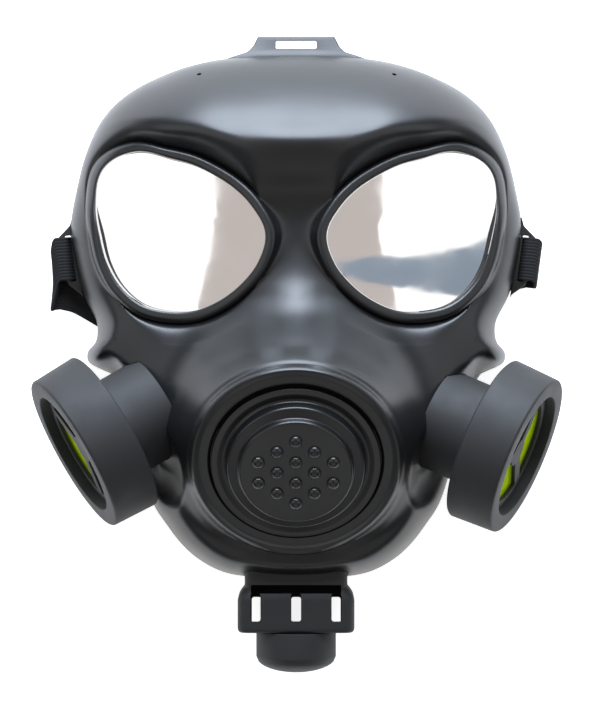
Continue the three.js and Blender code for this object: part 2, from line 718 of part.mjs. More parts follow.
function sideTab() {
  const inward = -SIDE_SLOT_WIDTH / 2 - SIDE_SLOT_GAP - WALL / 2;
  const outward = SIDE_SLOT_WIDTH / 2 + SIDE_BAR_WIDTH;
  const half = SIDE_SLOT_LENGTH / 2;
  const outline = [
    [inward, -half - 8], [inward + 0.6, -half - 6.6],
    [outward - 3.6, -half - 1.7], [outward - 2.6, -half + 0.6],
    [outward, -half + 2.4], [outward, half - 3], [outward - 1.6, half - 0.3], [outward - 4, half + 1.6],
    [inward + 1.9, half + 4.4], [inward + 0.4, half + 8], [inward, half + 8],
  ].map(([x, y]) => new THREE.Vector2(x, y));
  return plate(outline, 0, TAB_THICKNESS).applyMatrix4(sideTabMatrix());
}

function sideSlot() {
  return box(-SIDE_SLOT_WIDTH / 2, SIDE_SLOT_WIDTH / 2, -SIDE_SLOT_LENGTH / 2, SIDE_SLOT_LENGTH / 2,
    -TAB_THICKNESS, 2 * TAB_THICKNESS).applyMatrix4(sideTabMatrix());
}

function topTab() {
  const base = CROWN_REACH - WALL * 0.6;
  const top = CROWN_REACH + TOP_TAB_HEIGHT;
  const half = TOP_TAB_HALF_WIDTH;
  const right = [
    [half + TOP_TAB_FLARE + 6, base - 1], [half + TOP_TAB_FLARE, base + 1.2],
    [half + 4.6, CROWN_REACH + 1.8],
    [half + 2, CROWN_REACH + 4.6], [half + 0.3, top - 0.8], [half - 0.8, top],
  ];
  const points = [...right, ...right.map(([x, y]) => [-x, y]).reverse()];
  return plate(points.map(([x, y]) => new THREE.Vector2(x, y)), rimLift(0, CROWN_REACH), TAB_THICKNESS);
}

function topSlot() {
  const y = CROWN_REACH + TOP_TAB_HEIGHT - 2.2;
  const z = rimLift(0, CROWN_REACH);
  return box(-TOP_SLOT_LENGTH / 2, TOP_SLOT_LENGTH / 2, y - TOP_SLOT_WIDTH, y, z - 5, z + TAB_THICKNESS + 5);
}

function hangHole() {
  const z = surfaceHeight(HANG_HOLE.x, HANG_HOLE.y, false);
  const drill = turned([[0, -12], [HANG_HOLE_RADIUS, -12], [HANG_HOLE_RADIUS, 12], [0, 12]], HOLE_SIDES);
  const turn = new THREE.Quaternion().setFromUnitVectors(
    new THREE.Vector3(0, 0, 1),
    surfaceNormal(HANG_HOLE.x, HANG_HOLE.y),
  );
  return drill.applyQuaternion(turn).translate(HANG_HOLE.x, HANG_HOLE.y, z);
}

function neckHole(side) {
  const depth = DRUM_LENGTH + NECK_LENGTH + FIT;
  const radius = NECK_RADIUS + FIT;
  return turned([[0, -depth], [radius, -depth], [radius, 0], [0, 0]]).applyMatrix4(filterMatrix(side));
}

function shellGeometry() {
  let solid = toSolid(shellSheets());
  for (const tab of [sideTab(), mirrorX(sideTab()), topTab()]) {
    solid = solid.add(toSolid(tab));
  }
  const cuts = [sideSlot(), hangHole()];
  const necks = [neckHole('right'), mirrorX(neckHole('left'))];
  const collar = collarNeck(-FIT, COLLAR_TOP - 12);
  for (const cut of [...cuts, ...cuts.map(mirrorX), ...necks, topSlot(), collar]) {
    solid = solid.subtract(toSolid(cut));
  }
  return toGeometry(solid);
}

// Thin curved sheet that fills an eye opening
function lensGeometry() {
  const rings = [0.5, 1];
  const sheet = (sink) => {
    const at = (x, y) => [x, y, surfaceHeight(x, y, false) - sink];
    const points = [at(EYE_X, EYE_Y)];
    for (const ring of rings) {
      for (const edge of eyeBoundary) {
        const angle = Math.atan2(edge.y - EYE_Y, edge.x - EYE_X);
        const radius = (eyeRadius(angle) - FIT) * ring;
        points.push(at(EYE_X + radius * Math.cos(angle), EYE_Y + radius * Math.sin(angle)));
      }
    }
    return points;
  };
  const top = sheet(LENS_SINK);
  const positions = [...top, ...sheet(LENS_SINK + LENS_THICKNESS)].flat();
  const under = top.length;
  const count = eyeBoundary.length;
  const index = [];
  const quad = (a, b, c, d) => index.push(a, b, c, a, c, d);
  for (let i = 0; i < count; i += 1) {
    const next = (i + 1) % count;
    index.push(0, 1 + i, 1 + next, under, under + 1 + next, under + 1 + i);
    for (let r = 0; r < rings.length - 1; r += 1) {
      const a = 1 + r * count;
      const b = a + count;
      quad(a + i, b + i, b + next, a + next);
      quad(under + a + i, under + a + next, under + b + next, under + b + i);
    }
    const edge = 1 + (rings.length - 1) * count;
    quad(edge + i, under + edge + i, under + edge + next, edge + next);
  }
  const geometry = new THREE.BufferGeometry();
  geometry.setAttribute('position', new THREE.Float32BufferAttribute(positions, 3));
  geometry.setIndex(index);
  return geometry;
}

function speechDiscGeometry() {
  const seat = FIT;
  const flangeTop = seat + DISC_WALL;
  const stepTop = flangeTop + STEP_HEIGHT;
  const crownTop = stepTop + CROWN_STEP_HEIGHT;
  const flangeRadius = RING_RADIUS - RING_LIP - FIT;
  const plugRadius = VOICE_HOLE_RADIUS - FIT;
  const plugBottom = seat - WALL - 1;
  const body = turned([
    [0, crownTop], [0, crownTop - DISC_WALL], [CROWN_STEP_RADIUS - DISC_WALL, crownTop - DISC_WALL],
    [CROWN_STEP_RADIUS - DISC_WALL, stepTop - DISC_WALL], [STEP_RADIUS - DISC_WALL, stepTop - DISC_WALL],
    [STEP_RADIUS - DISC_WALL, plugBottom], [plugRadius, plugBottom], [plugRadius, seat],
    [flangeRadius, seat], [flangeRadius, flangeTop], [STEP_RADIUS, flangeTop],
    [STEP_RADIUS, stepTop - STEP_EDGE], [STEP_RADIUS - STEP_EDGE, stepTop], [CROWN_STEP_RADIUS, stepTop],
    [CROWN_STEP_RADIUS, crownTop - STEP_EDGE], [CROWN_STEP_RADIUS - STEP_EDGE, crownTop], [0, crownTop],
  ]);
  let solid = toSolid(body);
  STUD_COLUMNS.forEach((count, column) => {
    for (let row = 0; row < count; row += 1) {
      const x = (column - (STUD_COLUMNS.length - 1) / 2) * STUD_PITCH_X;
      const y = (row - (count - 1) / 2) * STUD_PITCH_Y;
      const dome = turned([
        [0, -1], [STUD_RADIUS, -1], [STUD_RADIUS, 0],
        [STUD_RADIUS * 0.75, STUD_HEIGHT * 0.7], [0, STUD_HEIGHT],
      ], HOLE_SIDES);
      solid = solid.add(toSolid(dome.translate(x, y, crownTop)));
    }
  });
  return toGeometry(solid).applyMatrix4(muzzleMatrix());
}

function filterCanGeometry(side) {
  const ledgeRadius = MOUTH_RADIUS - LEDGE;
  const neckEnd = -DRUM_LENGTH - NECK_LENGTH;
  const back = -DRUM_LENGTH + FILTER_WALL;
  const front = DRUM_RADIUS - DRUM_DRAFT;
  return turned([
    [MOUTH_RADIUS, -DRUM_EDGE / 2], [MOUTH_RADIUS + DRUM_EDGE / 2, 0], [front - DRUM_EDGE, 0],
    [front, -DRUM_EDGE], [DRUM_RADIUS, -DRUM_LENGTH + DRUM_EDGE], [DRUM_RADIUS - DRUM_EDGE, -DRUM_LENGTH],
    [NECK_RADIUS, -DRUM_LENGTH], [NECK_RADIUS, neckEnd], [NECK_RADIUS - FILTER_WALL, neckEnd],
    [NECK_RADIUS - FILTER_WALL, back], [ledgeRadius, back], [ledgeRadius, -MOUTH_DEPTH],
    [MOUTH_RADIUS, -MOUTH_DEPTH], [MOUTH_RADIUS, -DRUM_EDGE / 2],
  ].reverse()).applyMatrix4(filterMatrix(side));
}

// Spoked plate in the drum's mouth: three windows between the spokes
function grilleGeometry(side) {
  const radius = MOUTH_RADIUS - FIT;
  const inner = radius - GRILLE_RING;
  const windows = [0, 1, 2].map((n) => {
    const middle = THREE.MathUtils.degToRad(120 * n + FILTERS[side].turn);
    const points = [];
    const far = Math.PI / 3 - Math.asin(GRILLE_SPOKE / 2 / inner);
    const close = Math.PI / 3 - Math.asin(GRILLE_SPOKE / 2 / GRILLE_HUB);
    for (let i = 0; i <= 8; i += 1) {
      const turn = middle + lerp(-far, far, i / 8);
      points.push(new THREE.Vector2(inner * Math.cos(turn), inner * Math.sin(turn)));
    }
    for (let i = 0; i <= 3; i += 1) {
      const turn = middle + lerp(close, -close, i / 3);
      points.push(new THREE.Vector2(GRILLE_HUB * Math.cos(turn), GRILLE_HUB * Math.sin(turn)));
    }
    return points;
  });
  const rim = Array.from({ length: ROUND_SIDES }, (_, i) => {
    const turn = (2 * Math.PI * i) / ROUND_SIDES;
    return new THREE.Vector2(radius * Math.cos(turn), radius * Math.sin(turn));
  });
  const grille = plate(rim, -GRILLE_RECESS - GRILLE_THICKNESS, GRILLE_THICKNESS, windows);
  return grille.applyMatrix4(filterMatrix(side));
}

function padGeometry(side) {
  const radius = MOUTH_RADIUS - FIT;
  const bottom = -MOUTH_DEPTH + FIT;
  const top = bottom + PAD_THICKNESS;
  return turned([[0, bottom], [radius, bottom], [radius, top], [0, top]], PAD_SIDES)
    .applyMatrix4(filterMatrix(side));
}

// Turns of the strap round a tab's bar, in the tab's frame: out from the slot, height, shift along the slot
const HOOK = [
  { out: -7.5, rise: -1.3 }, { out: -2.4, rise: -1.3 }, { out: -0.7, rise: -0.5 }, { out: 0, rise: 1.3 },
  { out: 0.4, rise: 2.9 }, { out: 1.6, rise: 3.8 }, { out: 5.6, rise: 3.8 }, { out: 6.9, rise: 2.9 },
  { out: 7.2, rise: 1.2 }, { out: 6.9, rise: -1.2 }, { out: 5.4, rise: -2.6 }, { out: 2.4, rise: -3.1 },
];
const HOOK_TURN = 6;
const HOOK_SLIP = 3;
const LEFT_DROP = 13.5;
const RIGHT_DROP = 3;

function strapStations() {
  const matrix = sideTabMatrix();
  const hook = (sign, drop) => HOOK.map(({ out, rise }, i) => {
    const point = new THREE.Vector3(out, 0, rise).applyMatrix4(matrix);
    const slip = drop * clamp((i - HOOK_TURN) / HOOK_SLIP, 0, 1);
    return new THREE.Vector3(point.x * sign, point.y - slip, point.z);
  });
  const left = hook(-1, LEFT_DROP);
  const right = hook(1, RIGHT_DROP);
  const ground = STRAP_THICKNESS / 2 + 0.05;
  const route = STRAP_ROUTE.map(([x, y], i) => {
    const end = Math.min(i, STRAP_ROUTE.length - 1 - i);
    return new THREE.Vector3(x, y, ground + (end === 0 ? 1.4 : end === 1 ? 0.25 : 0));
  });
  const curve = new THREE.CatmullRomCurve3([left.at(-1), ...route, right.at(-1)], false, 'centripetal');
  const level = (t) => {
    const tangent = curve.getTangent(t);
    return new THREE.Vector3(-tangent.y, tangent.x, 0).normalize();
  };
  const folded = (points, sign) => points.map((point, i) => {
    const along = new THREE.Vector3(Math.sin(SIDE_TAB_TILT) * sign, Math.cos(SIDE_TAB_TILT), 0);
    const turn = sign < 0 ? smoothstep(i, HOOK_TURN, HOOK.length) : 0;
    return { point, across: along.lerp(level(0), turn).normalize() };
  });
  const run = Array.from({ length: RUN_STATIONS - 1 }, (_, i) => {
    const t = (i + 1) / RUN_STATIONS;
    const across = level(t).lerp(new THREE.Vector3(0, 1, 0), smoothstep(t, 0.86, 0.98)).normalize();
    return { point: curve.getPoint(t), across };
  });
  return [...folded(left, -1), ...run, ...folded(right, 1).reverse()];
}

function strapGeometry() {
  const stations = strapStations();
  const sections = stations.map(({ point, across }, i) => {
    const before = stations[Math.max(i - 1, 0)].point;
    const after = stations[Math.min(i + 1, stations.length - 1)].point;
    const tangent = after.clone().sub(before).normalize();
    const normal = new THREE.Vector3().crossVectors(tangent, across).normalize();
    const corner = (a, n) => point.clone()
      .addScaledVector(across, (a * STRAP_WIDTH) / 2)
      .addScaledVector(normal, (n * STRAP_THICKNESS) / 2)
      .toArray();
    return [corner(1, -1), corner(1, 1), corner(-1, 1), corner(-1, -1)];
  });
  return loft(sections);
}

const vinyl = () => new THREE.MeshStandardMaterial({ color: 0x2b2e31, roughness: 0.42, metalness: 0 });
const hardPlastic = () => new THREE.MeshStandardMaterial({ color: 0x26282a, roughness: 0.5, metalness: 0 });
const mirrorFilm = () => new THREE.MeshStandardMaterial({ color: 0xd9dadb, roughness: 0.12, metalness: 1 });
const filterPad = () => new THREE.MeshStandardMaterial({ color: 0xc6e01c, roughness: 0.35, metalness: 0 });
const elastic = () => new THREE.MeshStandardMaterial({ color: 0x17181a, roughness: 0.85, metalness: 0 });

const assembly = new THREE.Group();

function addPart(name, geometry, material) {
  const mesh = new THREE.Mesh(geometry, material);
  mesh.name = name;
  assembly.add(mesh);
}

function addPair(name, geometryOf, material) {
  addPart(`${name}_right`, geometryOf('right'), material);
  addPart(`${name}_left`, mirrorX(geometryOf('left')), material);
}

addPart('face_shell', shellGeometry(), vinyl());
addPair('lens', lensGeometry, mirrorFilm());
addPart('speech_disc', speechDiscGeometry(), vinyl());
addPair('filter_can', filterCanGeometry, hardPlastic());
addPair('filter_grille', grilleGeometry, hardPlastic());
addPair('filter_pad', padGeometry, filterPad());
addPart('outlet_collar', collarGeometry(), hardPlastic());
addPart('outlet_cap', capGeometry(), hardPlastic());
addPart('head_strap', strapGeometry(), elastic());

// The origin is the middle of the whole outline, on the ground
const extent = new THREE.Box3().setFromObject(assembly);
const middle = extent.getCenter(new THREE.Vector3());
assembly.position.set(-middle.x, -middle.y, -extent.min.z);
const mask = new THREE.Group();
mask.add(assembly);

export default mask;
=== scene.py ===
"""Costume gas mask: moulded vinyl face, mirrored lenses, two side filters and a chin outlet.

Sizes in the tables below are millimetres in the part's own frame: +Z out of the face, +Y to the forehead.
"""

import math

import bmesh
import bpy
import numpy as np
from mathutils import Matrix, Vector


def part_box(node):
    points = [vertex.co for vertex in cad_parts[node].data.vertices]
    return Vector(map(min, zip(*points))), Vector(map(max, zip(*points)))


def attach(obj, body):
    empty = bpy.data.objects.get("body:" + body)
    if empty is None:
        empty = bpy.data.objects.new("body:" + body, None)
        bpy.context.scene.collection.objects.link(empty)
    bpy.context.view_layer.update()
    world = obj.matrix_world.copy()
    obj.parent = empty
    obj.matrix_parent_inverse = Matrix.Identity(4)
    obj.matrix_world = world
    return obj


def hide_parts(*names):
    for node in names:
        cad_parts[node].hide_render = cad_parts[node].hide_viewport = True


bl_info = {
    "name": "Costume gas mask",
    "version": (1, 0, 0),
    "blender": (4, 5, 0),
    "location": "3D View > Sidebar > Gas mask",
    "description": "Builds a moulded costume gas mask, its filters, outlet and strap, and a soft studio",
    "category": "Add Mesh",
}

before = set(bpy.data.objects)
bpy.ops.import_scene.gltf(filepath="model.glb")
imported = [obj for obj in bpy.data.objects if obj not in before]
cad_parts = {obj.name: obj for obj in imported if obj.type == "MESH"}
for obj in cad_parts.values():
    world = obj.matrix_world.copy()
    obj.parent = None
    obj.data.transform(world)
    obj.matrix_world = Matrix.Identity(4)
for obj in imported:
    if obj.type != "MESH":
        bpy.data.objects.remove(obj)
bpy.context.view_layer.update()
MM = 0.001

# Shell
HALF_WIDTH = 104.8
CROWN_REACH = 138.5
CHIN_REACH = 105.3
FACE_DEPTH = 60.0
WALL = 2.4
RIM_CENTRE_Y = 20.0
FIT = 0.3

# Eyes
EYE_X = 52.0
EYE_Y = 54.0
EYE_SIZE = 37.0
EYE_DEPTH = 40.0
EYE_SPLAY = 0.24
BEAD_WIDTH = 5.2
SOCKET_SLOPE = 1.5
SOCKET_ROUND = 9.0
LENS_THICKNESS = 1.0
LENS_SINK = 0.7
LENS_RISE = 3.6

# Muzzle ring and speech disc
MUZZLE_Y = -47.9
MUZZLE_DEPTH = 72.0
MUZZLE_TILT = math.radians(27)
RING_RADIUS = 44.0
RING_LIP = 6.0
RING_HEIGHT = 3.2
SHOULDER_REACH = 50.2
SHOULDER_HEIGHT = 0.9
FLANK_SLOPE = 1.7
VOICE_HOLE_RADIUS = 31.0
STEP_RADIUS = 30.8
STEP_HEIGHT = 4.0
CROWN_STEP_RADIUS = 25.2
CROWN_STEP_HEIGHT = 3.6
DISC_WALL = 2.3
STUD_PITCH_X = 8.25
STUD_PITCH_Y = 10.4
STUD_COLUMNS = [2, 3, 4, 3, 2]

# Side filters: place of each drum's face on its own side, its droop and rise in degrees, turn of its grille
FILTERS = {
    "right": ((104.6, -46.6, 44.8), 23.1, 17.2, 60),
    "left": ((101.5, -45.6, 44.8), 29.8, 15.4, 30),
}
POCKET_FACE = (103.0, -45.7, 44.8)
POCKET_DROOP = math.radians(26.5)
POCKET_RISE = math.radians(16.3)
POCKET_DEPTH = 40.0
POCKET_RADIUS = 29.0
POCKET_SLOPE = 1.6
POCKET_ROUND = 5.0
DRUM_RADIUS = 38.3
DRUM_DRAFT = 1.1
DRUM_LENGTH = 22.0
MOUTH_RADIUS = 28.9
MOUTH_DEPTH = 9.0
LEDGE = 2.6
FILTER_WALL = 2.5
NECK_RADIUS = 23.3
NECK_LENGTH = 24.0
GRILLE_RECESS = 4.6
GRILLE_THICKNESS = 2.0
GRILLE_RING = 4.2
GRILLE_SPOKE = 5.0
GRILLE_HUB = 6.5
PAD_THICKNESS = 1.6

# Chin outlet
OUTLET_DEPTH = 23.0
COLLAR_HALF_WIDTH = 26.6
COLLAR_HALF_DEPTH = 17.0
COLLAR_NECK_SHARE = 0.88
COLLAR_CORNER = 5.0
COLLAR_WALL = 2.2
COLLAR_TOP = 99.0
COLLAR_FLARE_START = 106.5
COLLAR_FLARE_END = 112.5
COLLAR_BOTTOM = 127.0
WINDOW_WIDTH = 4.5
WINDOW_TOP = 111.0
WINDOW_BOTTOM = 124.0
WINDOW_SPACING = 18.4
WINDOW_SLANT = 2.6
VENT_HALF_WIDTH = 20.6
VENT_TOP = 105.2
VENT_HEIGHT = 4.0
CAP_RADIUS = 18.3
CAP_LENGTH = 12.0
CAP_DOME = 7.3
SPIGOT_RADIUS = 13.6
SPIGOT_LENGTH = 2.6

# Tabs and strap
TAB_THICKNESS = 2.6
TOP_TAB_HALF_WIDTH = 18.0
TOP_TAB_HEIGHT = 9.2
TOP_TAB_FLARE = 11.0
TOP_TAB_LEAN = 0.27
TOP_SLOT_LENGTH = 19.0
TOP_SLOT_WIDTH = 3.8
SIDE_SLOT_LENGTH = 21.5
SIDE_SLOT_WIDTH = 3.0
SIDE_SLOT_GAP = 0.8
SIDE_BAR_WIDTH = 4.4
SIDE_TAB_Y = 44.5
SIDE_TAB_TILT = math.radians(7.7)
HANG_HOLE_RADIUS = 1.1
HANG_HOLE = (45.0, 128.0)
STRAP_WIDTH = 20.0
STRAP_THICKNESS = 1.4

# Half outline from crown to chin, as shares of the half width and of the crown or chin reach
OUTLINE = [
    (0, 1), (0.22, 0.997), (0.4, 0.981), (0.565, 0.945), (0.747, 0.876), (0.858, 0.796),
    (0.933, 0.683), (0.976, 0.55), (1, 0.423), (0.984, 0.32), (0.945, 0.2), (0.885, 0.1),
    (0.892, 0.04), (0.929, 0.004), (0.927, -0.035), (0.888, -0.062), (0.825, -0.09), (0.765, -0.24),
    (0.715, -0.42), (0.637, -0.664), (0.577, -0.757), (0.511, -0.842), (0.438, -0.907), (0.324, -0.966),
    (0.17, -0.99), (0, -1),
]
WAIST_ROW = 11

# Rim by angle round the rim centre: lift off the ground and width of the rolled edge
RIM = [
    (-90, 0, 11), (-60, 0, 14), (-35, 0, 20), (-20, 0, 14), (-12, 0, 10), (-4, 4, 12), (4, 7, 15),
    (22, 7, 18), (30, 4, 24), (38, 0, 30), (60, 2, 42), (90, 7, 46),
]

# Depth of the face form by row from chin to crown, at these shares of the half width
FORM_COLUMNS = [0, 0.06, 0.13, 0.25, 0.42, 0.61, 0.8, 1]
FORM = [
    (-1, [0.77, 0.77, 0.77, 0.75, 0.68, 0.55, 0.38, 0.24]),
    (-0.7, [0.8, 0.8, 0.8, 0.79, 0.76, 0.66, 0.46, 0.28]),
    (-0.48, [0.9, 0.9, 0.9, 0.9, 0.88, 0.78, 0.55, 0.32]),
    (-0.3, [1.1, 1.1, 1.1, 1.05, 0.92, 0.84, 0.6, 0.35]),
    (-0.14, [1.36, 1.36, 1.32, 1.1, 0.86, 0.78, 0.6, 0.36]),
    (0.03, [1.18, 1.16, 1.06, 0.91, 0.79, 0.72, 0.56, 0.37]),
    (0.13, [0.98, 0.955, 0.9, 0.81, 0.75, 0.67, 0.54, 0.38]),
    (0.23, [0.85, 0.84, 0.815, 0.77, 0.71, 0.63, 0.52, 0.4]),
    (0.33, [0.79, 0.79, 0.785, 0.76, 0.7, 0.63, 0.53, 0.42]),
    (0.43, [0.77, 0.77, 0.77, 0.75, 0.71, 0.64, 0.55, 0.44]),
    (0.52, [0.82, 0.82, 0.82, 0.8, 0.76, 0.67, 0.57, 0.46]),
    (0.61, [0.94, 0.94, 0.935, 0.92, 0.87, 0.76, 0.63, 0.5]),
    (0.685, [0.99, 0.99, 0.985, 0.965, 0.93, 0.83, 0.68, 0.52]),
    (0.76, [0.925, 0.925, 0.925, 0.915, 0.89, 0.81, 0.68, 0.52]),
    (0.88, [0.82, 0.82, 0.82, 0.815, 0.8, 0.74, 0.64, 0.5]),
    (1, [0.7, 0.7, 0.7, 0.7, 0.69, 0.65, 0.58, 0.47]),
]

# Eye outline: radius at each step of angle from the outer side, as a share of the eye size
EYE_STEP = 20
EYE_RADII = [
    1.024, 1.148, 1.29, 1.186, 0.956, 0.861, 0.825, 0.856, 0.931,
    1.03, 1.004, 0.957, 0.94, 0.95, 0.96, 0.99, 0.99, 0.992,
]

# Route of the strap on the ground, and its turns round a tab's bar as out from the slot and height
STRAP_ROUTE = [
    (-101, 28.5), (-90, 22.5), (-74, 12.5), (-54, -0.5), (-30, -12), (-6, -17),
    (20, -14.5), (44, -3.5), (64, 12), (80, 27), (92, 37),
]
HOOK = [
    (-7.5, -1.3), (-2.4, -1.3), (-0.7, -0.5), (0, 1.3), (0.4, 2.9), (1.6, 3.8),
    (5.6, 3.8), (6.9, 2.9), (7.2, 1.2), (6.9, -1.2), (5.4, -2.6), (2.4, -3.1),
]
HOOK_TURN = 6
HOOK_SLIP = 3
LEFT_DROP = 13.5
RIGHT_DROP = 3.0

# The tables' origin lies on the middle line between eyes and muzzle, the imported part's under its box
CAP_LOW, CAP_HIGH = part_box("outlet_cap")
ORIGIN = Vector((
    (CAP_LOW[0] + CAP_HIGH[0]) / 2, CAP_LOW[1] + (COLLAR_BOTTOM + CAP_LENGTH + CAP_DOME) * MM, 0))


def linear(code):
    """Linear red, green, blue from an sRGB hex value."""
    channels = [int(code[i:i + 2], 16) / 255 for i in (1, 3, 5)]
    return tuple(c / 12.92 if c <= 0.04045 else ((c + 0.055) / 1.055) ** 2.4 for c in channels)


def colour(code, name, description):
    return bpy.props.FloatVectorProperty(
        name=name, description=description, default=linear(code), size=3, min=0, max=1, subtype="COLOR")


def length(size, name, description):
    """A length property kept in metres, given in millimetres."""
    return bpy.props.FloatProperty(
        name=name, description=description, default=size * MM, min=0, precision=4,
        subtype="DISTANCE", unit="LENGTH")


def share(value, name, description):
    return bpy.props.FloatProperty(
        name=name, description=description, default=value, min=0, max=1, subtype="FACTOR")


class MaskSizes(bpy.types.PropertyGroup):
    """Sizes of the relief that a maker would change."""

    bead_height: length(3.2, "Eye bead", "Height of the rounded bead round each eye")
    lens_crown: length(1.5, "Lens crown", "How far the middle of each lens film stands up")
    stud_radius: length(2.9, "Stud radius", "Radius of the domed studs on the speech disc")
    stud_height: length(1.9, "Stud height", "Height of the domed studs")
    edge: length(1.2, "Drum edge", "Radius on the outer edges of the filter drums")
    rib_pitch: length(1.43, "Rib pitch", "Distance between the ribs of the elastic strap")


class MaskFinishes(bpy.types.PropertyGroup):
    """Colours and gloss of the mask's materials."""

    vinyl: colour("#111213", "Vinyl", "Soft vinyl of the face and speech disc")
    vinyl_roughness: share(0.35, "Vinyl roughness", "Gloss of the moulded vinyl")
    plastic: colour("#111213", "Hard plastic", "Filters, outlet collar and cap")
    plastic_roughness: share(0.66, "Plastic roughness", "Gloss of the spark eroded mould surface")
    film: colour("#f8f8f7", "Mirror film", "Metallised lens film")
    pad: colour("#c3e614", "Filter sheet", "Fluorescent sheet behind the grilles")
    elastic: colour("#060708", "Elastic", "Ribbed strap")


class MaskStudio(bpy.types.PropertyGroup):
    """Floor and lights."""

    floor: colour("#f7f7f7", "Floor", "Pale studio floor")
    key_power: bpy.props.FloatProperty(
        name="Key power", description="Large light beyond the forehead", default=88, min=0, unit="POWER")
    key_tint: colour("#e2eeff", "Key tint", "Colour of the key light")
    side_power: bpy.props.FloatProperty(
        name="Side power", description="Each of the two high side lights", default=4.2, min=0, unit="POWER")
    strip_power: bpy.props.FloatProperty(
        name="Strip power", description="Each dim strip beside the camera", default=1.2, min=0, unit="POWER")
    strip_tint: colour("#fff0ea", "Strip tint", "Colour of the dim strips")
    front_power: bpy.props.FloatProperty(
        name="Front power", description="Weak light on the chin's side", default=1.8, min=0, unit="POWER")
    card: colour("#646b73", "Grey card", "Card whose image shows in the right lens")
    glow: bpy.props.FloatProperty(
        name="Floor glow", description="Light that comes through the floor's paper", default=0.9, min=0)
    fill: share(0.14, "Fill", "Strength of the even light from all round")


# Curves and surfaces

def shell_y(up):
    return np.where(np.asarray(up) > 0, CROWN_REACH, CHIN_REACH) * up


def smoothstep(value, low, high):
    t = np.clip((value - low) / (high - low), 0, 1)
    return t * t * (3 - 2 * t)


def curve_through(points, closed=False, per_span=40):
    """Centripetal curve through points, as one dense run of points."""
    points = np.asarray(points, float)
    count = len(points)
    run = []
    for i in range(count if closed else count - 1):
        a, b = points[i], points[(i + 1) % count]
        before = points[i - 1] if closed or i else 2 * a - b
        after = points[(i + 2) % count] if closed or i + 2 < count else 2 * b - a
        d0, d1, d2 = (math.sqrt(np.linalg.norm(q - p)) for p, q in ((before, a), (a, b), (b, after)))
        start = ((a - before) / d0 - (b - before) / (d0 + d1) + (b - a) / d1) * d1
        end = ((b - a) / d1 - (after - a) / (d1 + d2) + (after - b) / d2) * d1
        t = np.linspace(0, 1, per_span, endpoint=False)[:, None]
        run.append(a * (2 * t ** 3 - 3 * t ** 2 + 1) + start * (t ** 3 - 2 * t ** 2 + t)
                   + b * (3 * t ** 2 - 2 * t ** 3) + end * (t ** 3 - t ** 2))
    if not closed:
        run.append(points[-1:])
    return np.concatenate(run)


def even_steps(points, count):
    """The same run of points, cut into even steps."""
    walked = np.concatenate([[0], np.cumsum(np.linalg.norm(np.diff(points, axis=0), axis=1))])
    at = np.linspace(0, walked[-1], count + 1)
    return np.stack([np.interp(at, walked, points[:, k]) for k in range(points.shape[1])], axis=1)


def blend_along(stations, values, at):
    """Smooth curve through values at rising stations."""
    stations = np.asarray(stations, float)
    values = np.asarray(values, float)
    if values.ndim == 1:
        values = np.repeat(values[:, None], len(at), axis=1)
    column = np.arange(len(at))
    last = len(stations) - 1
    x = np.clip(at, stations[0], stations[-1])
    i = np.clip(np.searchsorted(stations, x) - 1, 0, last - 1)

    def slope(k):
        a, b = np.maximum(k - 1, 0), np.minimum(k + 1, last)
        return (values[b, column] - values[a, column]) / (stations[b] - stations[a])

    span = stations[i + 1] - stations[i]
    t = (x - stations[i]) / span
    return (values[i, column] * (2 * t ** 3 - 3 * t ** 2 + 1) + slope(i) * span * (t ** 3 - 2 * t ** 2 + t)
            + values[i + 1, column] * (3 * t ** 2 - 2 * t ** 3) + slope(i + 1) * span * (t ** 3 - t ** 2))


OUTLINE_POINTS = np.array([(side * HALF_WIDTH, float(shell_y(up))) for side, up in OUTLINE])
WHOLE_OUTLINE = curve_through(
    np.concatenate([OUTLINE_POINTS[:0:-1], OUTLINE_POINTS[:1], OUTLINE_POINTS[1:-1] * (-1, 1)]), closed=True)
RIM_ANGLES = np.arctan2(WHOLE_OUTLINE[:, 1] - RIM_CENTRE_Y, WHOLE_OUTLINE[:, 0])
RIM_REACHES = np.hypot(WHOLE_OUTLINE[:, 0], WHOLE_OUTLINE[:, 1] - RIM_CENTRE_Y)
RIM_ORDER = np.argsort(RIM_ANGLES)
RIM_ROWS = np.array([(-120, RIM[1][1], RIM[1][2]), *RIM, (120, RIM[-2][1], RIM[-2][2])], float)
MIRRORED_COLUMNS = [-FORM_COLUMNS[2], -FORM_COLUMNS[1], *FORM_COLUMNS]
EYE_ANGLES = [(i - 2) * EYE_STEP for i in range(len(EYE_RADII) + 5)]
EYE_SHARES = [EYE_RADII[(i - 2) % len(EYE_RADII)] for i in range(len(EYE_ANGLES))]
RING_DROP = RING_HEIGHT / math.cos(MUZZLE_TILT)


def rim_radius(angle):
    return np.interp(angle, RIM_ANGLES[RIM_ORDER], RIM_REACHES[RIM_ORDER], period=2 * math.pi)


def rim_lift(x, y):
    angle = np.degrees(np.arctan2(y - RIM_CENTRE_Y, np.abs(x)))
    return np.maximum(blend_along(RIM_ROWS[:, 0], RIM_ROWS[:, 1], angle), 0)


def roll_share(x, y):
    """Share of the full depth that the rolled edge leaves at a point."""
    angle = np.arctan2(y - RIM_CENTRE_Y, np.abs(x))
    inward = rim_radius(angle) - np.hypot(x, y - RIM_CENTRE_Y)
    roll = blend_along(RIM_ROWS[:, 0], RIM_ROWS[:, 2], np.degrees(angle))
    u = np.clip(inward / roll, 0, 1)
    return np.sqrt(1 - (1 - u) ** 2)


def face_form(x, y):
    across = np.abs(x) / HALF_WIDTH
    along = [blend_along(MIRRORED_COLUMNS, [row[2], row[1], *row], across) for _, row in FORM]
    return blend_along([float(shell_y(up)) for up, _ in FORM], along, y) * FACE_DEPTH


def eye_radius(angle):
    return blend_along(EYE_ANGLES, EYE_SHARES, np.degrees(angle) % 360) * EYE_SIZE


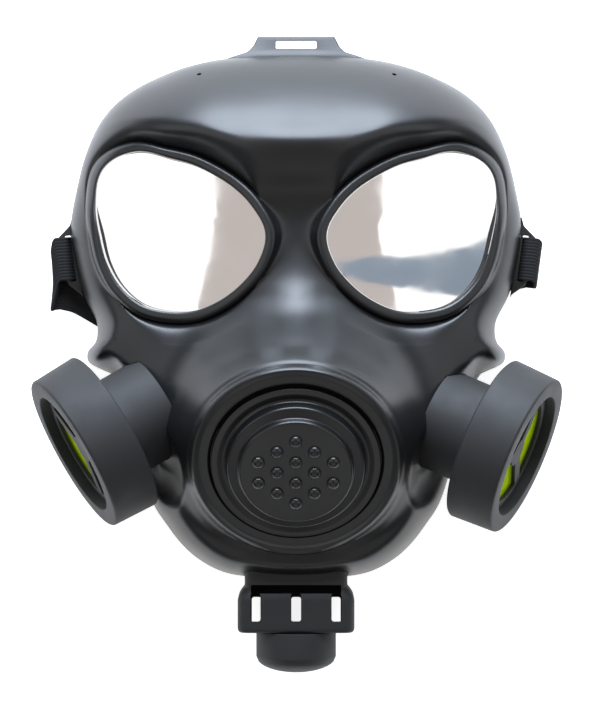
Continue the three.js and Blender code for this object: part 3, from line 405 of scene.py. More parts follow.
def eye_distance(x, y):
    dx, dy = np.abs(x) - EYE_X, y - EYE_Y
    return np.hypot(dx, dy) - eye_radius(np.arctan2(dy, dx))


def muzzle_reach(x, y):
    return np.hypot(x, (y - MUZZLE_Y) / math.cos(MUZZLE_TILT))


def soft_max(a, b, reach):
    return np.maximum(a, b) + np.maximum(reach - np.abs(a - b), 0) ** 2 / (4 * reach)


def axis_frame(droop, rise):
    """Directions along, up and out of a filter on the right side."""
    out = np.array([math.cos(rise) * math.cos(droop), -math.cos(rise) * math.sin(droop), math.sin(rise)])
    side = np.array([math.sin(droop), math.cos(droop), 0])
    return side, np.cross(out, side), out


def pocket_height(x, y):
    """Height of the flat pocket that a filter's neck enters, flared beyond its radius."""
    out = axis_frame(POCKET_DROOP, POCKET_RISE)[2]
    middle = np.array(POCKET_FACE) - POCKET_DEPTH * out
    dx, dy = np.abs(x) - middle[0], y - middle[1]
    rise = -(out[0] * dx + out[1] * dy) / out[2]
    reach = np.sqrt(dx ** 2 + dy ** 2 + rise ** 2)
    return middle[2] + rise + POCKET_SLOPE * np.maximum(reach - POCKET_RADIUS, 0)


def surface_height(x, y, bead_height=0.0, lip=False):
    """Height of the moulded face, with or without the eye beads and the lip of the muzzle ring."""
    x, y = np.broadcast_arrays(np.asarray(x, float), np.asarray(y, float))
    shape = x.shape
    x, y = x.ravel(), y.ravel()
    reach = muzzle_reach(x, y)
    plane = MUZZLE_DEPTH + (y - MUZZLE_Y) * math.tan(MUZZLE_TILT)
    cone = np.minimum(plane - FLANK_SLOPE * np.maximum(reach - RING_RADIUS, 0), plane - RING_DROP)
    blend = 10 * np.clip((reach - RING_RADIUS) / 8, 0.0001, 1)
    face = np.where(reach < RING_RADIUS, cone, soft_max(cone, face_form(x, y), blend))
    face = -soft_max(-face, -pocket_height(x, y), POCKET_ROUND)
    distance = eye_distance(x, y)
    outside = np.maximum(distance - BEAD_WIDTH, 0)
    eye_plane = EYE_DEPTH - EYE_SPLAY * (np.abs(x) - EYE_X)
    fillet = SOCKET_ROUND * np.clip(outside / SOCKET_ROUND, 0.0001, 1)
    height = -soft_max(-face, -(eye_plane + SOCKET_SLOPE * outside), fillet)
    height = soft_max(height, eye_plane - SOCKET_SLOPE * outside, fillet)
    if bead_height:
        across = np.clip(distance / (BEAD_WIDTH / 2) - 1, -1, 1)
        height += bead_height * (np.sqrt(1 - across ** 2) + np.where(across < 0, 0.5 * across ** 2, 0))
    if lip:
        inner = RING_RADIUS - RING_LIP
        rise = smoothstep(reach, inner, inner + 1.2)
        fall = smoothstep(reach, RING_RADIUS - 1.6, RING_RADIUS + 1.6)
        height += np.where(reach < RING_RADIUS + 4, RING_DROP * rise * (1 - 0.25 * fall), 0)
        upper = smoothstep((y - MUZZLE_Y) / np.maximum(reach, 1), 0.15, 0.7)
        shoulder = smoothstep(reach, SHOULDER_REACH - 1.3, SHOULDER_REACH)
        fade = 1 - smoothstep(reach, SHOULDER_REACH, SHOULDER_REACH + 9)
        height += SHOULDER_HEIGHT * upper * shoulder * fade
    lift = rim_lift(x, y)
    return (lift + (height - lift) * roll_share(x, y)).reshape(shape)


def surface_normal(x, y, h=0.3):
    dx = (surface_height(x + h, y) - surface_height(x - h, y)) / (2 * h)
    dy = (surface_height(x, y + h) - surface_height(x, y - h)) / (2 * h)
    normal = np.stack([-dx, -dy, np.ones_like(dx)], axis=-1)
    return normal / np.linalg.norm(normal, axis=-1, keepdims=True)


# Pieces

# edge of a cutter's plate, small enough for its cut to be sharp
CUT_EDGE = 0.01


def add_mesh(name, points, faces):
    """New object from points in millimetres in the part's frame."""
    mesh = bpy.data.meshes.new(name)
    placed = np.asarray(points, float).reshape(-1, 3) * MM + np.array(ORIGIN)
    mesh.from_pydata(placed.tolist(), [], faces)
    piece = bpy.data.objects.new(name, mesh)
    bpy.context.scene.collection.objects.link(piece)
    return piece


def edit(piece, change):
    """Run one bmesh change on a piece's mesh."""
    work = bmesh.new()
    work.from_mesh(piece.data)
    change(work)
    work.to_mesh(piece.data)
    work.free()


def weld(piece, distance=1e-6):
    def change(work):
        bmesh.ops.remove_doubles(work, verts=work.verts, dist=distance)
        loose = [e for e in work.edges if not e.link_faces]
        bmesh.ops.delete(work, geom=loose, context="EDGES")
        bmesh.ops.recalc_face_normals(work, faces=work.faces)
    edit(piece, change)


def settle(piece):
    """Make a piece's modifiers or curve into its mesh."""
    graph = bpy.context.evaluated_depsgraph_get()
    mesh = bpy.data.meshes.new_from_object(piece.evaluated_get(graph), depsgraph=graph)
    if piece.type == "MESH":
        piece.modifiers.clear()
        piece.data = mesh
        return piece
    name = piece.name
    bpy.data.objects.remove(piece)
    settled = bpy.data.objects.new(name, mesh)
    bpy.context.scene.collection.objects.link(settled)
    return settled


def open_edges(piece):
    work = bmesh.new()
    work.from_mesh(piece.data)
    count = sum(not e.is_manifold for e in work.edges)
    work.free()
    return count


def combine(piece, tool, operation):
    """Join a solid to a piece or cut it away, and drop the tool."""
    for solid in (piece, tool):
        if open_edges(solid):
            raise RuntimeError(f"{solid.name} isn't closed: {open_edges(solid)} edges")
    step = piece.modifiers.new(operation.lower(), "BOOLEAN")
    step.operation = operation
    step.solver = "MANIFOLD"
    step.object = tool
    settle(piece)
    bpy.data.objects.remove(tool)
    if not piece.data.polygons:
        raise RuntimeError(f"{piece.name} was lost when {operation} ran")


def finish_piece(piece, material, node, smooth=40):
    """Shade a piece, give it its material and let it stand for its CAD node."""
    piece.data.materials.clear()
    piece.data.materials.append(material)
    piece.data.shade_smooth()
    piece.data.set_sharp_from_angle(angle=math.radians(smooth))
    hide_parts(node)
    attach(piece, "root")
    return piece


def place_on_side(piece, side):
    """Flip a piece made for the right side where it belongs on the left."""
    if side == "left":
        piece.data.transform(Matrix.Diagonal((-1, 1, 1, 1)))
        piece.data.flip_normals()
    return piece


def mirrored(piece, name):
    """Copy of a right piece for the left side of the face."""
    copy = bpy.data.objects.new(name, piece.data.copy())
    bpy.context.scene.collection.objects.link(copy)
    return place_on_side(copy, "left")


def rounded_profile(profile, steps=5):
    """Closed profile whose corners, given as x, y and radius, are rounded off."""
    points = []
    count = len(profile)
    for i, (x, y, radius) in enumerate(profile):
        corner = Vector((x, y))
        before = Vector(profile[i - 1][:2]) - corner
        after = Vector(profile[(i + 1) % count][:2]) - corner
        if radius <= 0 or min(before.length, after.length) < 1e-6:
            points.append((x, y))
            continue
        half = before.angle(after) / 2
        reach = min(radius / math.tan(half), before.length * 0.49, after.length * 0.49)
        radius = reach * math.tan(half)
        start, end = corner + before.normalized() * reach, corner + after.normalized() * reach
        centre = corner + (before.normalized() + after.normalized()).normalized() * radius / math.sin(half)
        first, last = (math.atan2(p.y - centre.y, p.x - centre.x) for p in (start, end))
        sweep = (last - first + math.pi) % (2 * math.pi) - math.pi
        for k in range(steps + 1):
            turn = first + sweep * k / steps
            points.append((centre.x + radius * math.cos(turn), centre.y + radius * math.sin(turn)))
    return points


def turned(name, profile, matrix, sides=160):
    """Turned solid from a closed profile of radius and height."""
    profile = np.array(profile)
    turn = np.linspace(0, 2 * math.pi, sides, endpoint=False)
    count = len(profile)
    points = np.stack([
        np.outer(np.cos(turn), profile[:, 0]),
        np.outer(np.sin(turn), profile[:, 0]),
        np.outer(np.ones(sides), profile[:, 1]),
    ], axis=-1).reshape(-1, 3)
    faces = [
        (s * count + i, ((s + 1) % sides) * count + i,
         ((s + 1) % sides) * count + (i + 1) % count, s * count + (i + 1) % count)
        for s in range(sides) for i in range(count)
    ]
    turned_points = [tuple(matrix @ Vector(p)) for p in points]
    piece = add_mesh(name, turned_points, faces)
    weld(piece)
    return piece


def flat_plate(name, outlines, thickness, edge, matrix):
    """Plate with rounded edges between z 0 and its thickness; outlines after the first are holes."""
    curve = bpy.data.curves.new(name, "CURVE")
    curve.dimensions = "2D"
    curve.fill_mode = "BOTH"
    curve.extrude = (thickness / 2 - edge) * MM
    curve.bevel_depth = edge * MM
    curve.bevel_resolution = 2
    curve.offset = -edge * MM
    for outline in outlines:
        spline = curve.splines.new("POLY")
        spline.points.add(len(outline) - 1)
        for point, (x, y) in zip(spline.points, outline):
            point.co = (x * MM, y * MM, 0, 1)
        spline.use_cyclic_u = True
    piece = bpy.data.objects.new(name, curve)
    bpy.context.scene.collection.objects.link(piece)
    middle = matrix @ Matrix.Translation((0, 0, thickness / 2))
    piece = settle(piece)
    piece.data.transform(
        Matrix.Translation(ORIGIN) @ Matrix.Translation(middle.translation * MM) @ middle.to_3x3().to_4x4())
    weld(piece, 2e-6)
    return piece


def loft(name, sections):
    """Solid through sections that share one point count, closed by flat ends."""
    sections = np.asarray(sections, float)
    rows, count = sections.shape[:2]
    faces = [
        (s * count + i, s * count + (i + 1) % count, (s + 1) * count + (i + 1) % count, (s + 1) * count + i)
        for s in range(rows - 1) for i in range(count)
    ]
    faces += [tuple(range(count))[::-1], tuple((rows - 1) * count + i for i in range(count))]
    piece = add_mesh(name, sections, faces)
    edit(piece, lambda work: bmesh.ops.recalc_face_normals(work, faces=work.faces))
    return piece


def basis(x_axis, y_axis, z_axis, origin):
    matrix = Matrix((x_axis, y_axis, z_axis)).transposed().to_4x4()
    matrix.translation = origin
    return matrix


def filter_matrix(side):
    """Frame of a filter as if on the right side: its origin at the drum's face, +Z out of the face."""
    face, droop, rise, _ = FILTERS[side]
    along, up, out = axis_frame(math.radians(droop), math.radians(rise))
    return basis(along, up, out, Vector(face))


def muzzle_matrix():
    """Frame of the speech disc: its origin in the middle of the seat inside the ring."""
    origin = Vector((0, MUZZLE_Y, MUZZLE_DEPTH - RING_DROP))
    return Matrix.Translation(origin) @ Matrix.Rotation(MUZZLE_TILT, 4, "X")


def outlet_matrix():
    """Frame of the outlet: its origin on the collar's bottom face, +Z down the outlet."""
    return Matrix.Translation((0, -COLLAR_BOTTOM, OUTLET_DEPTH)) @ Matrix.Rotation(math.pi / 2, 4, "X")


def side_tab_matrix():
    """Frame of the right side tab: its origin in the slot's middle, +Y along the slot."""
    angle = math.atan2(SIDE_TAB_Y - RIM_CENTRE_Y, HALF_WIDTH)
    radius = float(rim_radius(angle))
    x = radius * math.cos(angle) + SIDE_SLOT_GAP + SIDE_SLOT_WIDTH / 2
    y = RIM_CENTRE_Y + radius * math.sin(angle)
    lift = float(rim_lift(np.array([x]), np.array([y]))[0])
    return Matrix.Translation((x, y, lift)) @ Matrix.Rotation(-SIDE_TAB_TILT, 4, "Z")


def slot_outline(width, height, corner, centre=(0, 0)):
    corners = [(1, -1), (1, 1), (-1, 1), (-1, -1)]
    return rounded_profile([
        (centre[0] + sx * width / 2, centre[1] + sy * height / 2, corner) for sx, sy in corners
    ], steps=4)


# Shell patches

BRIDGE = (0.0, 24.0)
EYE_CENTRE = np.array([EYE_X, EYE_Y])
CROWN_RAYS, BRIDGE_RAYS, SEAM_RAYS, JAW_RAYS = 150, 84, 66, 132


def towards_rim(count, power=1.7):
    return 1 - (1 - np.linspace(0, 1, count + 1)) ** power


def patch_edges():
    """Points that the three patches of the shell share: crown, jaw, midline and the seams under the eyes."""
    half = curve_through(np.concatenate([
        OUTLINE_POINTS[1:2] * (-1, 1), OUTLINE_POINTS, OUTLINE_POINTS[-2:-1] * (-1, 1)]))
    rows = 40
    crown = even_steps(half[rows:rows * (WAIST_ROW + 1) + 1], CROWN_RAYS)
    jaw = even_steps(half[rows * (WAIST_ROW + 1):rows * len(OUTLINE_POINTS) + 1], JAW_RAYS)
    crown[0, 0] = jaw[-1, 0] = 0
    t = towards_rim(SEAM_RAYS)[:, None]
    seam = ((1 - t) ** 2 * BRIDGE + 2 * t * (1 - t) * np.array([EYE_X, EYE_Y - 60]) + t ** 2 * jaw[0])[::-1]
    seam[0] = crown[-1] = jaw[0]
    midline = np.stack([np.zeros(BRIDGE_RAYS + 1), BRIDGE[1] + (crown[0, 1] - BRIDGE[1])
                        * towards_rim(BRIDGE_RAYS)], axis=1)
    return crown, jaw, midline, seam


def rays_from(centre, boundary, full, hole, near, shares):
    """Points along rays from a hole to its boundary: fixed steps in mm, then shares of the rest."""
    near = np.asarray(near)
    start = (hole + near[-1])[:, None]
    reaches = np.concatenate([hole[:, None] + near, start + (full[:, None] - start) * shares], axis=1)
    return centre + (boundary - centre)[:, None, :] * (reaches / full[:, None])[..., None]


class PatchMesh:
    """Collects the sheets of the shell's patches as one list of points and faces."""

    def __init__(self, bead_height):
        self.points = []
        self.faces = []
        self.bead_height = bead_height

    def add_grid(self, points, flip, mirror):
        points = points * (-1, 1, 1) if mirror else points
        start = sum(len(p) for p in self.points)
        rays, steps = points.shape[:2]
        self.points.append(points.reshape(-1, 3))
        index = start + np.arange(rays * steps).reshape(rays, steps)
        around = np.roll(index, -1, axis=0)
        quads = np.stack([index[:, :-1], index[:, 1:], around[:, 1:], around[:, :-1]], axis=-1).reshape(-1, 4)
        self.faces += (quads[:, ::-1] if flip != mirror else quads).tolist()
        return index

    def close(self, outer, inner, kept, mirror):
        """Wall between two edges, where both ends of a step are kept."""
        a, b = outer, np.roll(outer, -1)
        c, d = np.roll(inner, -1), inner
        quads = np.stack([a, b, c, d], axis=-1)[kept & np.roll(kept, -1)]
        self.faces += (quads[:, ::-1] if mirror else quads).tolist()

    def add_patch(self, rays, rim_rays, hole_axis, coarse, mirror=False):
        x, y = rays[..., 0], rays[..., 1]
        lift = rim_lift(x.ravel(), y.ravel()).reshape(x.shape)
        height = surface_height(x, y, self.bead_height, True)
        height[rim_rays, -1] = lift[rim_rays, -1]
        outer = self.add_grid(np.stack([x, y, height], axis=-1), False, mirror)
        x, y, lift = x[:, coarse], y[:, coarse], lift[:, coarse]
        normal = surface_normal(x, y)
        normal[:, 0] = hole_axis
        base = surface_height(x, y)
        base[rim_rays, -1] = lift[rim_rays, -1]
        normal[rim_rays, -1, 2] = 0
        normal[np.abs(x) < 1e-9, 0] = 0
        normal /= np.linalg.norm(normal, axis=-1, keepdims=True)
        inside = np.stack([x, y, base], axis=-1) - normal * WALL
        inside[..., 2] = np.maximum(inside[..., 2], lift)
        inner = self.add_grid(inside, True, mirror)
        self.close(outer[:, 0], inner[:, 0], np.ones(len(rays), bool), mirror)
        self.close(inner[:, -1], outer[:, -1], rim_rays, mirror)


def shell_sheets(bead_height):
    crown, jaw, midline, seam = patch_edges()
    mesh = PatchMesh(bead_height)
    eye_boundary = np.concatenate([crown[:0:-1], midline[:0:-1], seam[:0:-1]])
    eye_rim = np.arange(len(eye_boundary)) <= CROWN_RAYS
    offset = eye_boundary - EYE_CENTRE
    bead = BEAD_WIDTH / 2 * (1 - np.cos(np.linspace(0, math.pi, 15)))
    shares = towards_rim(38)[1:]
    eye_rays = rays_from(EYE_CENTRE, eye_boundary, np.hypot(*offset.T),
                         eye_radius(np.arctan2(offset[:, 1], offset[:, 0])), bead, shares)
    coarse = np.r_[0, 7, 14:len(bead) + len(shares):3]
    coarse = np.unique(np.r_[coarse, len(bead) + len(shares) - 1])
    for mirror in (False, True):
        mesh.add_patch(eye_rays, eye_rim, (0, 0, 1), coarse, mirror)
    right = np.concatenate([jaw[:0:-1], seam])
    muzzle_boundary = np.concatenate([right, (right[1:-1] * (-1, 1))[::-1]])
    muzzle_rim = np.zeros(len(muzzle_boundary), bool)
    muzzle_rim[:JAW_RAYS + 1] = True
    muzzle_rim[len(muzzle_boundary) - JAW_RAYS:] = True
    inner = RING_RADIUS - RING_LIP - VOICE_HOLE_RADIUS
    near = np.concatenate([
        np.linspace(0, inner - 0.3, 4), inner + np.linspace(0, 1.2, 8), inner + np.linspace(2, 4.2, 4),
        inner + np.linspace(4.5, 7.8, 12), inner + np.linspace(8.6, 22, 16)])
    full = muzzle_reach(muzzle_boundary[:, 0], muzzle_boundary[:, 1])
    shares = towards_rim(26)[1:]
    rays = rays_from(np.array([0, MUZZLE_Y]), muzzle_boundary, full,
                     np.full(len(full), VOICE_HOLE_RADIUS), near, shares)
    coarse = np.unique(np.r_[0, 4, 12, 16, 24:len(near) + len(shares):3, len(near) + len(shares) - 1])
    axis = (0, -math.sin(MUZZLE_TILT), math.cos(MUZZLE_TILT))
    mesh.add_patch(rays, muzzle_rim, axis, coarse)
    piece = add_mesh("face_shell_moulding", np.concatenate(mesh.points), mesh.faces)
    weld(piece)
    return piece


# Materials

def per_metre(size):
    """Texture scale at which a pattern repeats about once in this many millimetres."""
    return 1 / (size * MM)


def add_node(tree, kind, inputs, **settings):
    """Add a node with its settings, and set or link its inputs."""
    node = tree.nodes.new(kind)
    for name, value in settings.items():
        setattr(node, name, value)
    for name, value in inputs.items():
        if isinstance(value, bpy.types.NodeSocket):
            tree.links.new(value, node.inputs[name])
        else:
            node.inputs[name].default_value = value
    return node


def new_material(name):
    """Material with its tree, its surface shader and its object coordinates."""
    material = bpy.data.materials.new(name)
    material.use_nodes = True
    tree = material.node_tree
    where = add_node(tree, "ShaderNodeTexCoord", {}).outputs["Object"]
    return material, tree, tree.nodes["Principled BSDF"], where


def set_shader(shader, **values):
    for name, value in values.items():
        shader.inputs[name.replace("_", " ")].default_value = value


def vary(tree, shader, pattern, base, shades, roughness=None):
    """Let a pattern vary a surface's colour between two shades and, where given, its roughness."""
    tint = add_node(tree, "ShaderNodeMix", {
        "Factor": pattern, 6: (*[c * shades[0] for c in base], 1), 7: (*[c * shades[1] for c in base], 1),
    }, data_type="RGBA")
    tree.links.new(tint.outputs[2], shader.inputs["Base Color"])
    if roughness:
        gloss = add_node(tree, "ShaderNodeMapRange", {
            "Value": pattern, "From Min": 0.3, "From Max": 0.7,
            "To Min": roughness[0], "To Max": roughness[1]})
        tree.links.new(gloss.outputs["Result"], shader.inputs["Roughness"])


def moulded_vinyl(name, base, roughness, wave=1.0):
    """Plasticised PVC cast in a polished mould: satin sheen, faint flow waves and a very fine skin."""
    material, tree, shader, where = new_material(name)
    set_shader(shader, IOR=1.53)
    broad = add_node(tree, "ShaderNodeTexNoise", {"Vector": where, "Scale": per_metre(26), "Detail": 2})
    skin = add_node(tree, "ShaderNodeTexNoise", {"Vector": where, "Scale": per_metre(0.9), "Detail": 3})
    vary(tree, shader, broad.outputs["Fac"], base, (0.86, 1.14), (roughness - 0.03, roughness + 0.04))
    waves = add_node(tree, "ShaderNodeBump", {
        "Height": broad.outputs["Fac"], "Strength": 0.5, "Distance": 0.3 * MM * wave})
    fine = add_node(tree, "ShaderNodeBump", {
        "Height": skin.outputs["Fac"], "Normal": waves.outputs["Normal"], "Strength": 0.35,
        "Distance": 0.04 * MM})
    tree.links.new(fine.outputs["Normal"], shader.inputs["Normal"])
    return material


def sparked_abs(name, base, roughness):
    """Injection moulded ABS from a spark eroded mould: even matt sparkle and slightly worn gloss."""
    material, tree, shader, where = new_material(name)
    set_shader(shader, IOR=1.54)
    grain = add_node(tree, "ShaderNodeTexNoise", {"Vector": where, "Scale": per_metre(0.45), "Detail": 3})
    cloud = add_node(tree, "ShaderNodeTexNoise", {"Vector": where, "Scale": per_metre(14), "Detail": 3})
    vary(tree, shader, cloud.outputs["Fac"], base, (0.88, 1.12), (roughness - 0.03, roughness + 0.05))
    bump = add_node(tree, "ShaderNodeBump", {
        "Height": grain.outputs["Fac"], "Strength": 0.5, "Distance": 0.05 * MM})
    tree.links.new(bump.outputs["Normal"], shader.inputs["Normal"])
    return material


def metallised_film(name, base):
    """Aluminised PET film, thermoformed: a mirror with faint waves from the forming."""
    material, tree, shader, where = new_material(name)
    set_shader(shader, Metallic=1.0)
    haze = add_node(tree, "ShaderNodeTexNoise", {"Vector": where, "Scale": per_metre(18), "Detail": 4})
    vary(tree, shader, haze.outputs["Fac"], base, (0.93, 1), (0.03, 0.09))
    waves = add_node(tree, "ShaderNodeTexNoise", {
        "Vector": where, "Scale": per_metre(30), "Detail": 1, "Distortion": 0.8})
    bump = add_node(tree, "ShaderNodeBump", {
        "Height": waves.outputs["Fac"], "Strength": 1.0, "Distance": 0.12 * MM})
    tree.links.new(bump.outputs["Normal"], shader.inputs["Normal"])
    return material


def fluorescent_acrylic(name, base):
    """Cast acrylic sheet dyed fluorescent: clear yellow-green that gathers light and glows a little."""
    material, tree, shader, where = new_material(name)
    set_shader(shader, IOR=1.49, Roughness=0.18, Transmission_Weight=0.25, Emission_Strength=0.12,
               Emission_Color=(*base, 1))
    cloud = add_node(tree, "ShaderNodeTexNoise", {"Vector": where, "Scale": per_metre(9), "Detail": 2})
    vary(tree, shader, cloud.outputs["Fac"], base, (0.55, 1))
    return material


def ribbed_elastic(name, base):
    """Woven polyester elastic: matt, with the weft's short stitches across each rib."""
    material, tree, shader, where = new_material(name)
    set_shader(shader, Roughness=0.85, Sheen_Weight=0.02, Sheen_Roughness=0.5)
    weft = add_node(tree, "ShaderNodeTexNoise", {"Vector": where, "Scale": per_metre(0.8), "Detail": 4})
    vary(tree, shader, weft.outputs["Fac"], base, (0.6, 1.5))
    bump = add_node(tree, "ShaderNodeBump", {
        "Height": weft.outputs["Fac"], "Strength": 0.6, "Distance": 0.15 * MM})
    tree.links.new(bump.outputs["Normal"], shader.inputs["Normal"])
    return material


def studio_paper(name, base, glow):
    """Matt studio paper: a floor that glows as on a light table, or a plain card."""
    material, tree, shader, where = new_material(name)
    set_shader(shader, Roughness=0.9, Emission_Color=(*base, 1), Emission_Strength=glow)
    tooth = add_node(tree, "ShaderNodeTexNoise", {"Vector": where, "Scale": per_metre(60), "Detail": 2})
    vary(tree, shader, tooth.outputs["Fac"], base, (0.985, 1))
    return material


def ready_material(name, maker, *values):
    """The material of this name, made on first use."""
    return bpy.data.materials.get(name) or maker(name, *values)


def vinyl(context):
    finishes = context.scene.mask_finishes
    return ready_material("moulded_vinyl", moulded_vinyl, finishes.vinyl, finishes.vinyl_roughness)


def plastic(context):
    finishes = context.scene.mask_finishes
    return ready_material("sparked_abs", sparked_abs, finishes.plastic, finishes.plastic_roughness)


# Operators

class MASKPART_OT_face_shell(bpy.types.Operator):
    """Mould the face with its eye beads, muzzle ring, rolled rim, tabs and holes"""

    bl_idname = "maskpart.face_shell"
    bl_label = "Face shell"

    def execute(self, context):
        piece = shell_sheets(context.scene.mask_sizes.bead_height / MM)
        for side in FILTERS:
            combine(piece, place_on_side(self.side_tab(), side), "UNION")
        combine(piece, self.top_tab(), "UNION")
        for side in FILTERS:
            for cutter in (self.side_slot(), self.hang_hole(), self.neck_hole(side)):
                combine(piece, place_on_side(cutter, side), "DIFFERENCE")
        combine(piece, self.top_slot(), "DIFFERENCE")
        combine(piece, collar_loft("outlet_hole", -FIT, COLLAR_TOP - 12, COLLAR_FLARE_START), "DIFFERENCE")
        finish_piece(piece, vinyl(context), "face_shell")
        return {"FINISHED"}

    def side_tab(self):
        inward = -SIDE_SLOT_WIDTH / 2 - SIDE_SLOT_GAP - WALL / 2
        outward = SIDE_SLOT_WIDTH / 2 + SIDE_BAR_WIDTH
        half = SIDE_SLOT_LENGTH / 2
        outline = rounded_profile([
            (inward, -half - 8, 0), (inward + 0.6, -half - 6.6, 0), (outward - 3.6, -half - 1.7, 1.5),
            (outward - 2.6, -half + 0.6, 1.2), (outward, -half + 2.4, 2), (outward, half - 3, 2),
            (outward - 1.6, half - 0.3, 1.5), (outward - 4, half + 1.6, 3), (inward + 1.9, half + 4.4, 2),
            (inward + 0.4, half + 8, 0), (inward, half + 8, 0)])
        return flat_plate("side_tab", [outline], TAB_THICKNESS, 0.5, side_tab_matrix())

    def crown_lift(self):
        """Height of the rim under the top tab."""
        return float(rim_lift(np.array([0.0]), np.array([CROWN_REACH]))[0])

    def top_tab(self):
        base = CROWN_REACH - WALL * 0.6
        top = CROWN_REACH + TOP_TAB_HEIGHT
        half = TOP_TAB_HALF_WIDTH
        right = [
            (half + TOP_TAB_FLARE + 6, base - 1, 0), (half + TOP_TAB_FLARE, base + 1.2, 6),
            (half + 4.6, CROWN_REACH + 1.8, 4), (half + 2, CROWN_REACH + 4.6, 2.5), (half - 0.2, top, 1.2)]
        outline = rounded_profile([*right, *[(-x, y, r) for x, y, r in reversed(right)]])
        # the tab leans back from its root, and keeps its outline seen from the front
        root = self.crown_lift() + TOP_TAB_LEAN * base
        lean = Matrix(((1, 0, 0, 0), (0, 1, 0, 0), (0, -TOP_TAB_LEAN, 1, root), (0, 0, 0, 1)))
        return flat_plate("top_tab", [outline], TAB_THICKNESS, 0.5, lean)

    def side_slot(self):
        outline = slot_outline(SIDE_SLOT_WIDTH, SIDE_SLOT_LENGTH, 0.8)
        matrix = side_tab_matrix() @ Matrix.Translation((0, 0, -TAB_THICKNESS))
        return flat_plate("side_slot", [outline], 3 * TAB_THICKNESS, CUT_EDGE, matrix)

    def top_slot(self):
        y = CROWN_REACH + TOP_TAB_HEIGHT - 2.2 - TOP_SLOT_WIDTH / 2
        outline = slot_outline(TOP_SLOT_LENGTH, TOP_SLOT_WIDTH, 0.7)
        matrix = Matrix.Translation((0, y, self.crown_lift() - 5))
        return flat_plate("top_slot", [outline], TAB_THICKNESS + 10, CUT_EDGE, matrix)

    def hang_hole(self):
        x, y = HANG_HOLE
        normal = Vector(surface_normal(np.array([x]), np.array([y]))[0])
        height = float(surface_height(x, y))
        matrix = Matrix.Translation((x, y, height)) @ normal.to_track_quat("Z", "Y").to_matrix().to_4x4()
        profile = [(0, -12), (HANG_HOLE_RADIUS, -12), (HANG_HOLE_RADIUS, 12), (0, 12)]
        return turned("hang_hole", profile, matrix, 24)

    def neck_hole(self, side):
        depth = DRUM_LENGTH + NECK_LENGTH + FIT
        radius = NECK_RADIUS + FIT
        profile = [(0, -depth), (radius, -depth), (radius, 0), (0, 0)]
        return turned("neck_hole", profile, filter_matrix(side), 96)


class MASKPART_OT_lenses(bpy.types.Operator):
    """Form the two mirrored lens films"""

    bl_idname = "maskpart.lenses"
    bl_label = "Lenses"

    def execute(self, context):
        crown_height = context.scene.mask_sizes.lens_crown / MM
        rings, sides = 26, 220
        turn = np.linspace(0, 2 * math.pi, sides, endpoint=False)
        radius = eye_radius(turn) - FIT
        shares = np.linspace(0, 1, rings + 1)[1:]
        x = EYE_X + np.outer(shares, radius * np.cos(turn))
        y = EYE_Y + np.outer(shares, radius * np.sin(turn))
        x, y = np.r_[EYE_X, x.ravel()], np.r_[EYE_Y, y.ravel()]
        crown = crown_height * (1 - np.r_[0, np.repeat(shares, sides)] ** 2)
        # one even curve, fitted to the face, so that the film's edge doesn't roll with the shell
        terms = np.stack([np.ones_like(x), x, y, x * x, x * y, y * y], axis=1)
        face = surface_height(x, y)
        top = terms @ np.linalg.lstsq(terms, face, rcond=None)[0]
        top = np.minimum(top, face + LENS_RISE) - LENS_SINK + crown
        count = len(x)
        points = np.concatenate([
            np.stack([x, y, top], axis=1), np.stack([x, y, top - LENS_THICKNESS], axis=1)])
        index = 1 + np.arange(rings * sides).reshape(rings, sides)
        around = np.roll(index, -1, axis=1)
        fan = np.stack([np.zeros(sides, int), index[0], around[0]], axis=1)
        rest = np.stack([index[:-1], index[1:], around[1:], around[:-1]], axis=-1).reshape(-1, 4)
        wall = np.stack([index[-1], index[-1] + count, around[-1] + count, around[-1]], axis=1)
        faces = [*fan.tolist(), *rest.tolist(), *wall.tolist(),
                 *(fan[:, ::-1] + count).tolist(), *(rest[:, ::-1] + count).tolist()]
        right = add_mesh("lens_film_right", points, faces)
        weld(right)
        finishes = context.scene.mask_finishes
        film = ready_material("metallised_film", metallised_film, finishes.film)
        left = mirrored(right, "lens_film_left")
        finish_piece(right, film, "lens_right")
        finish_piece(left, film, "lens_left")
        return {"FINISHED"}


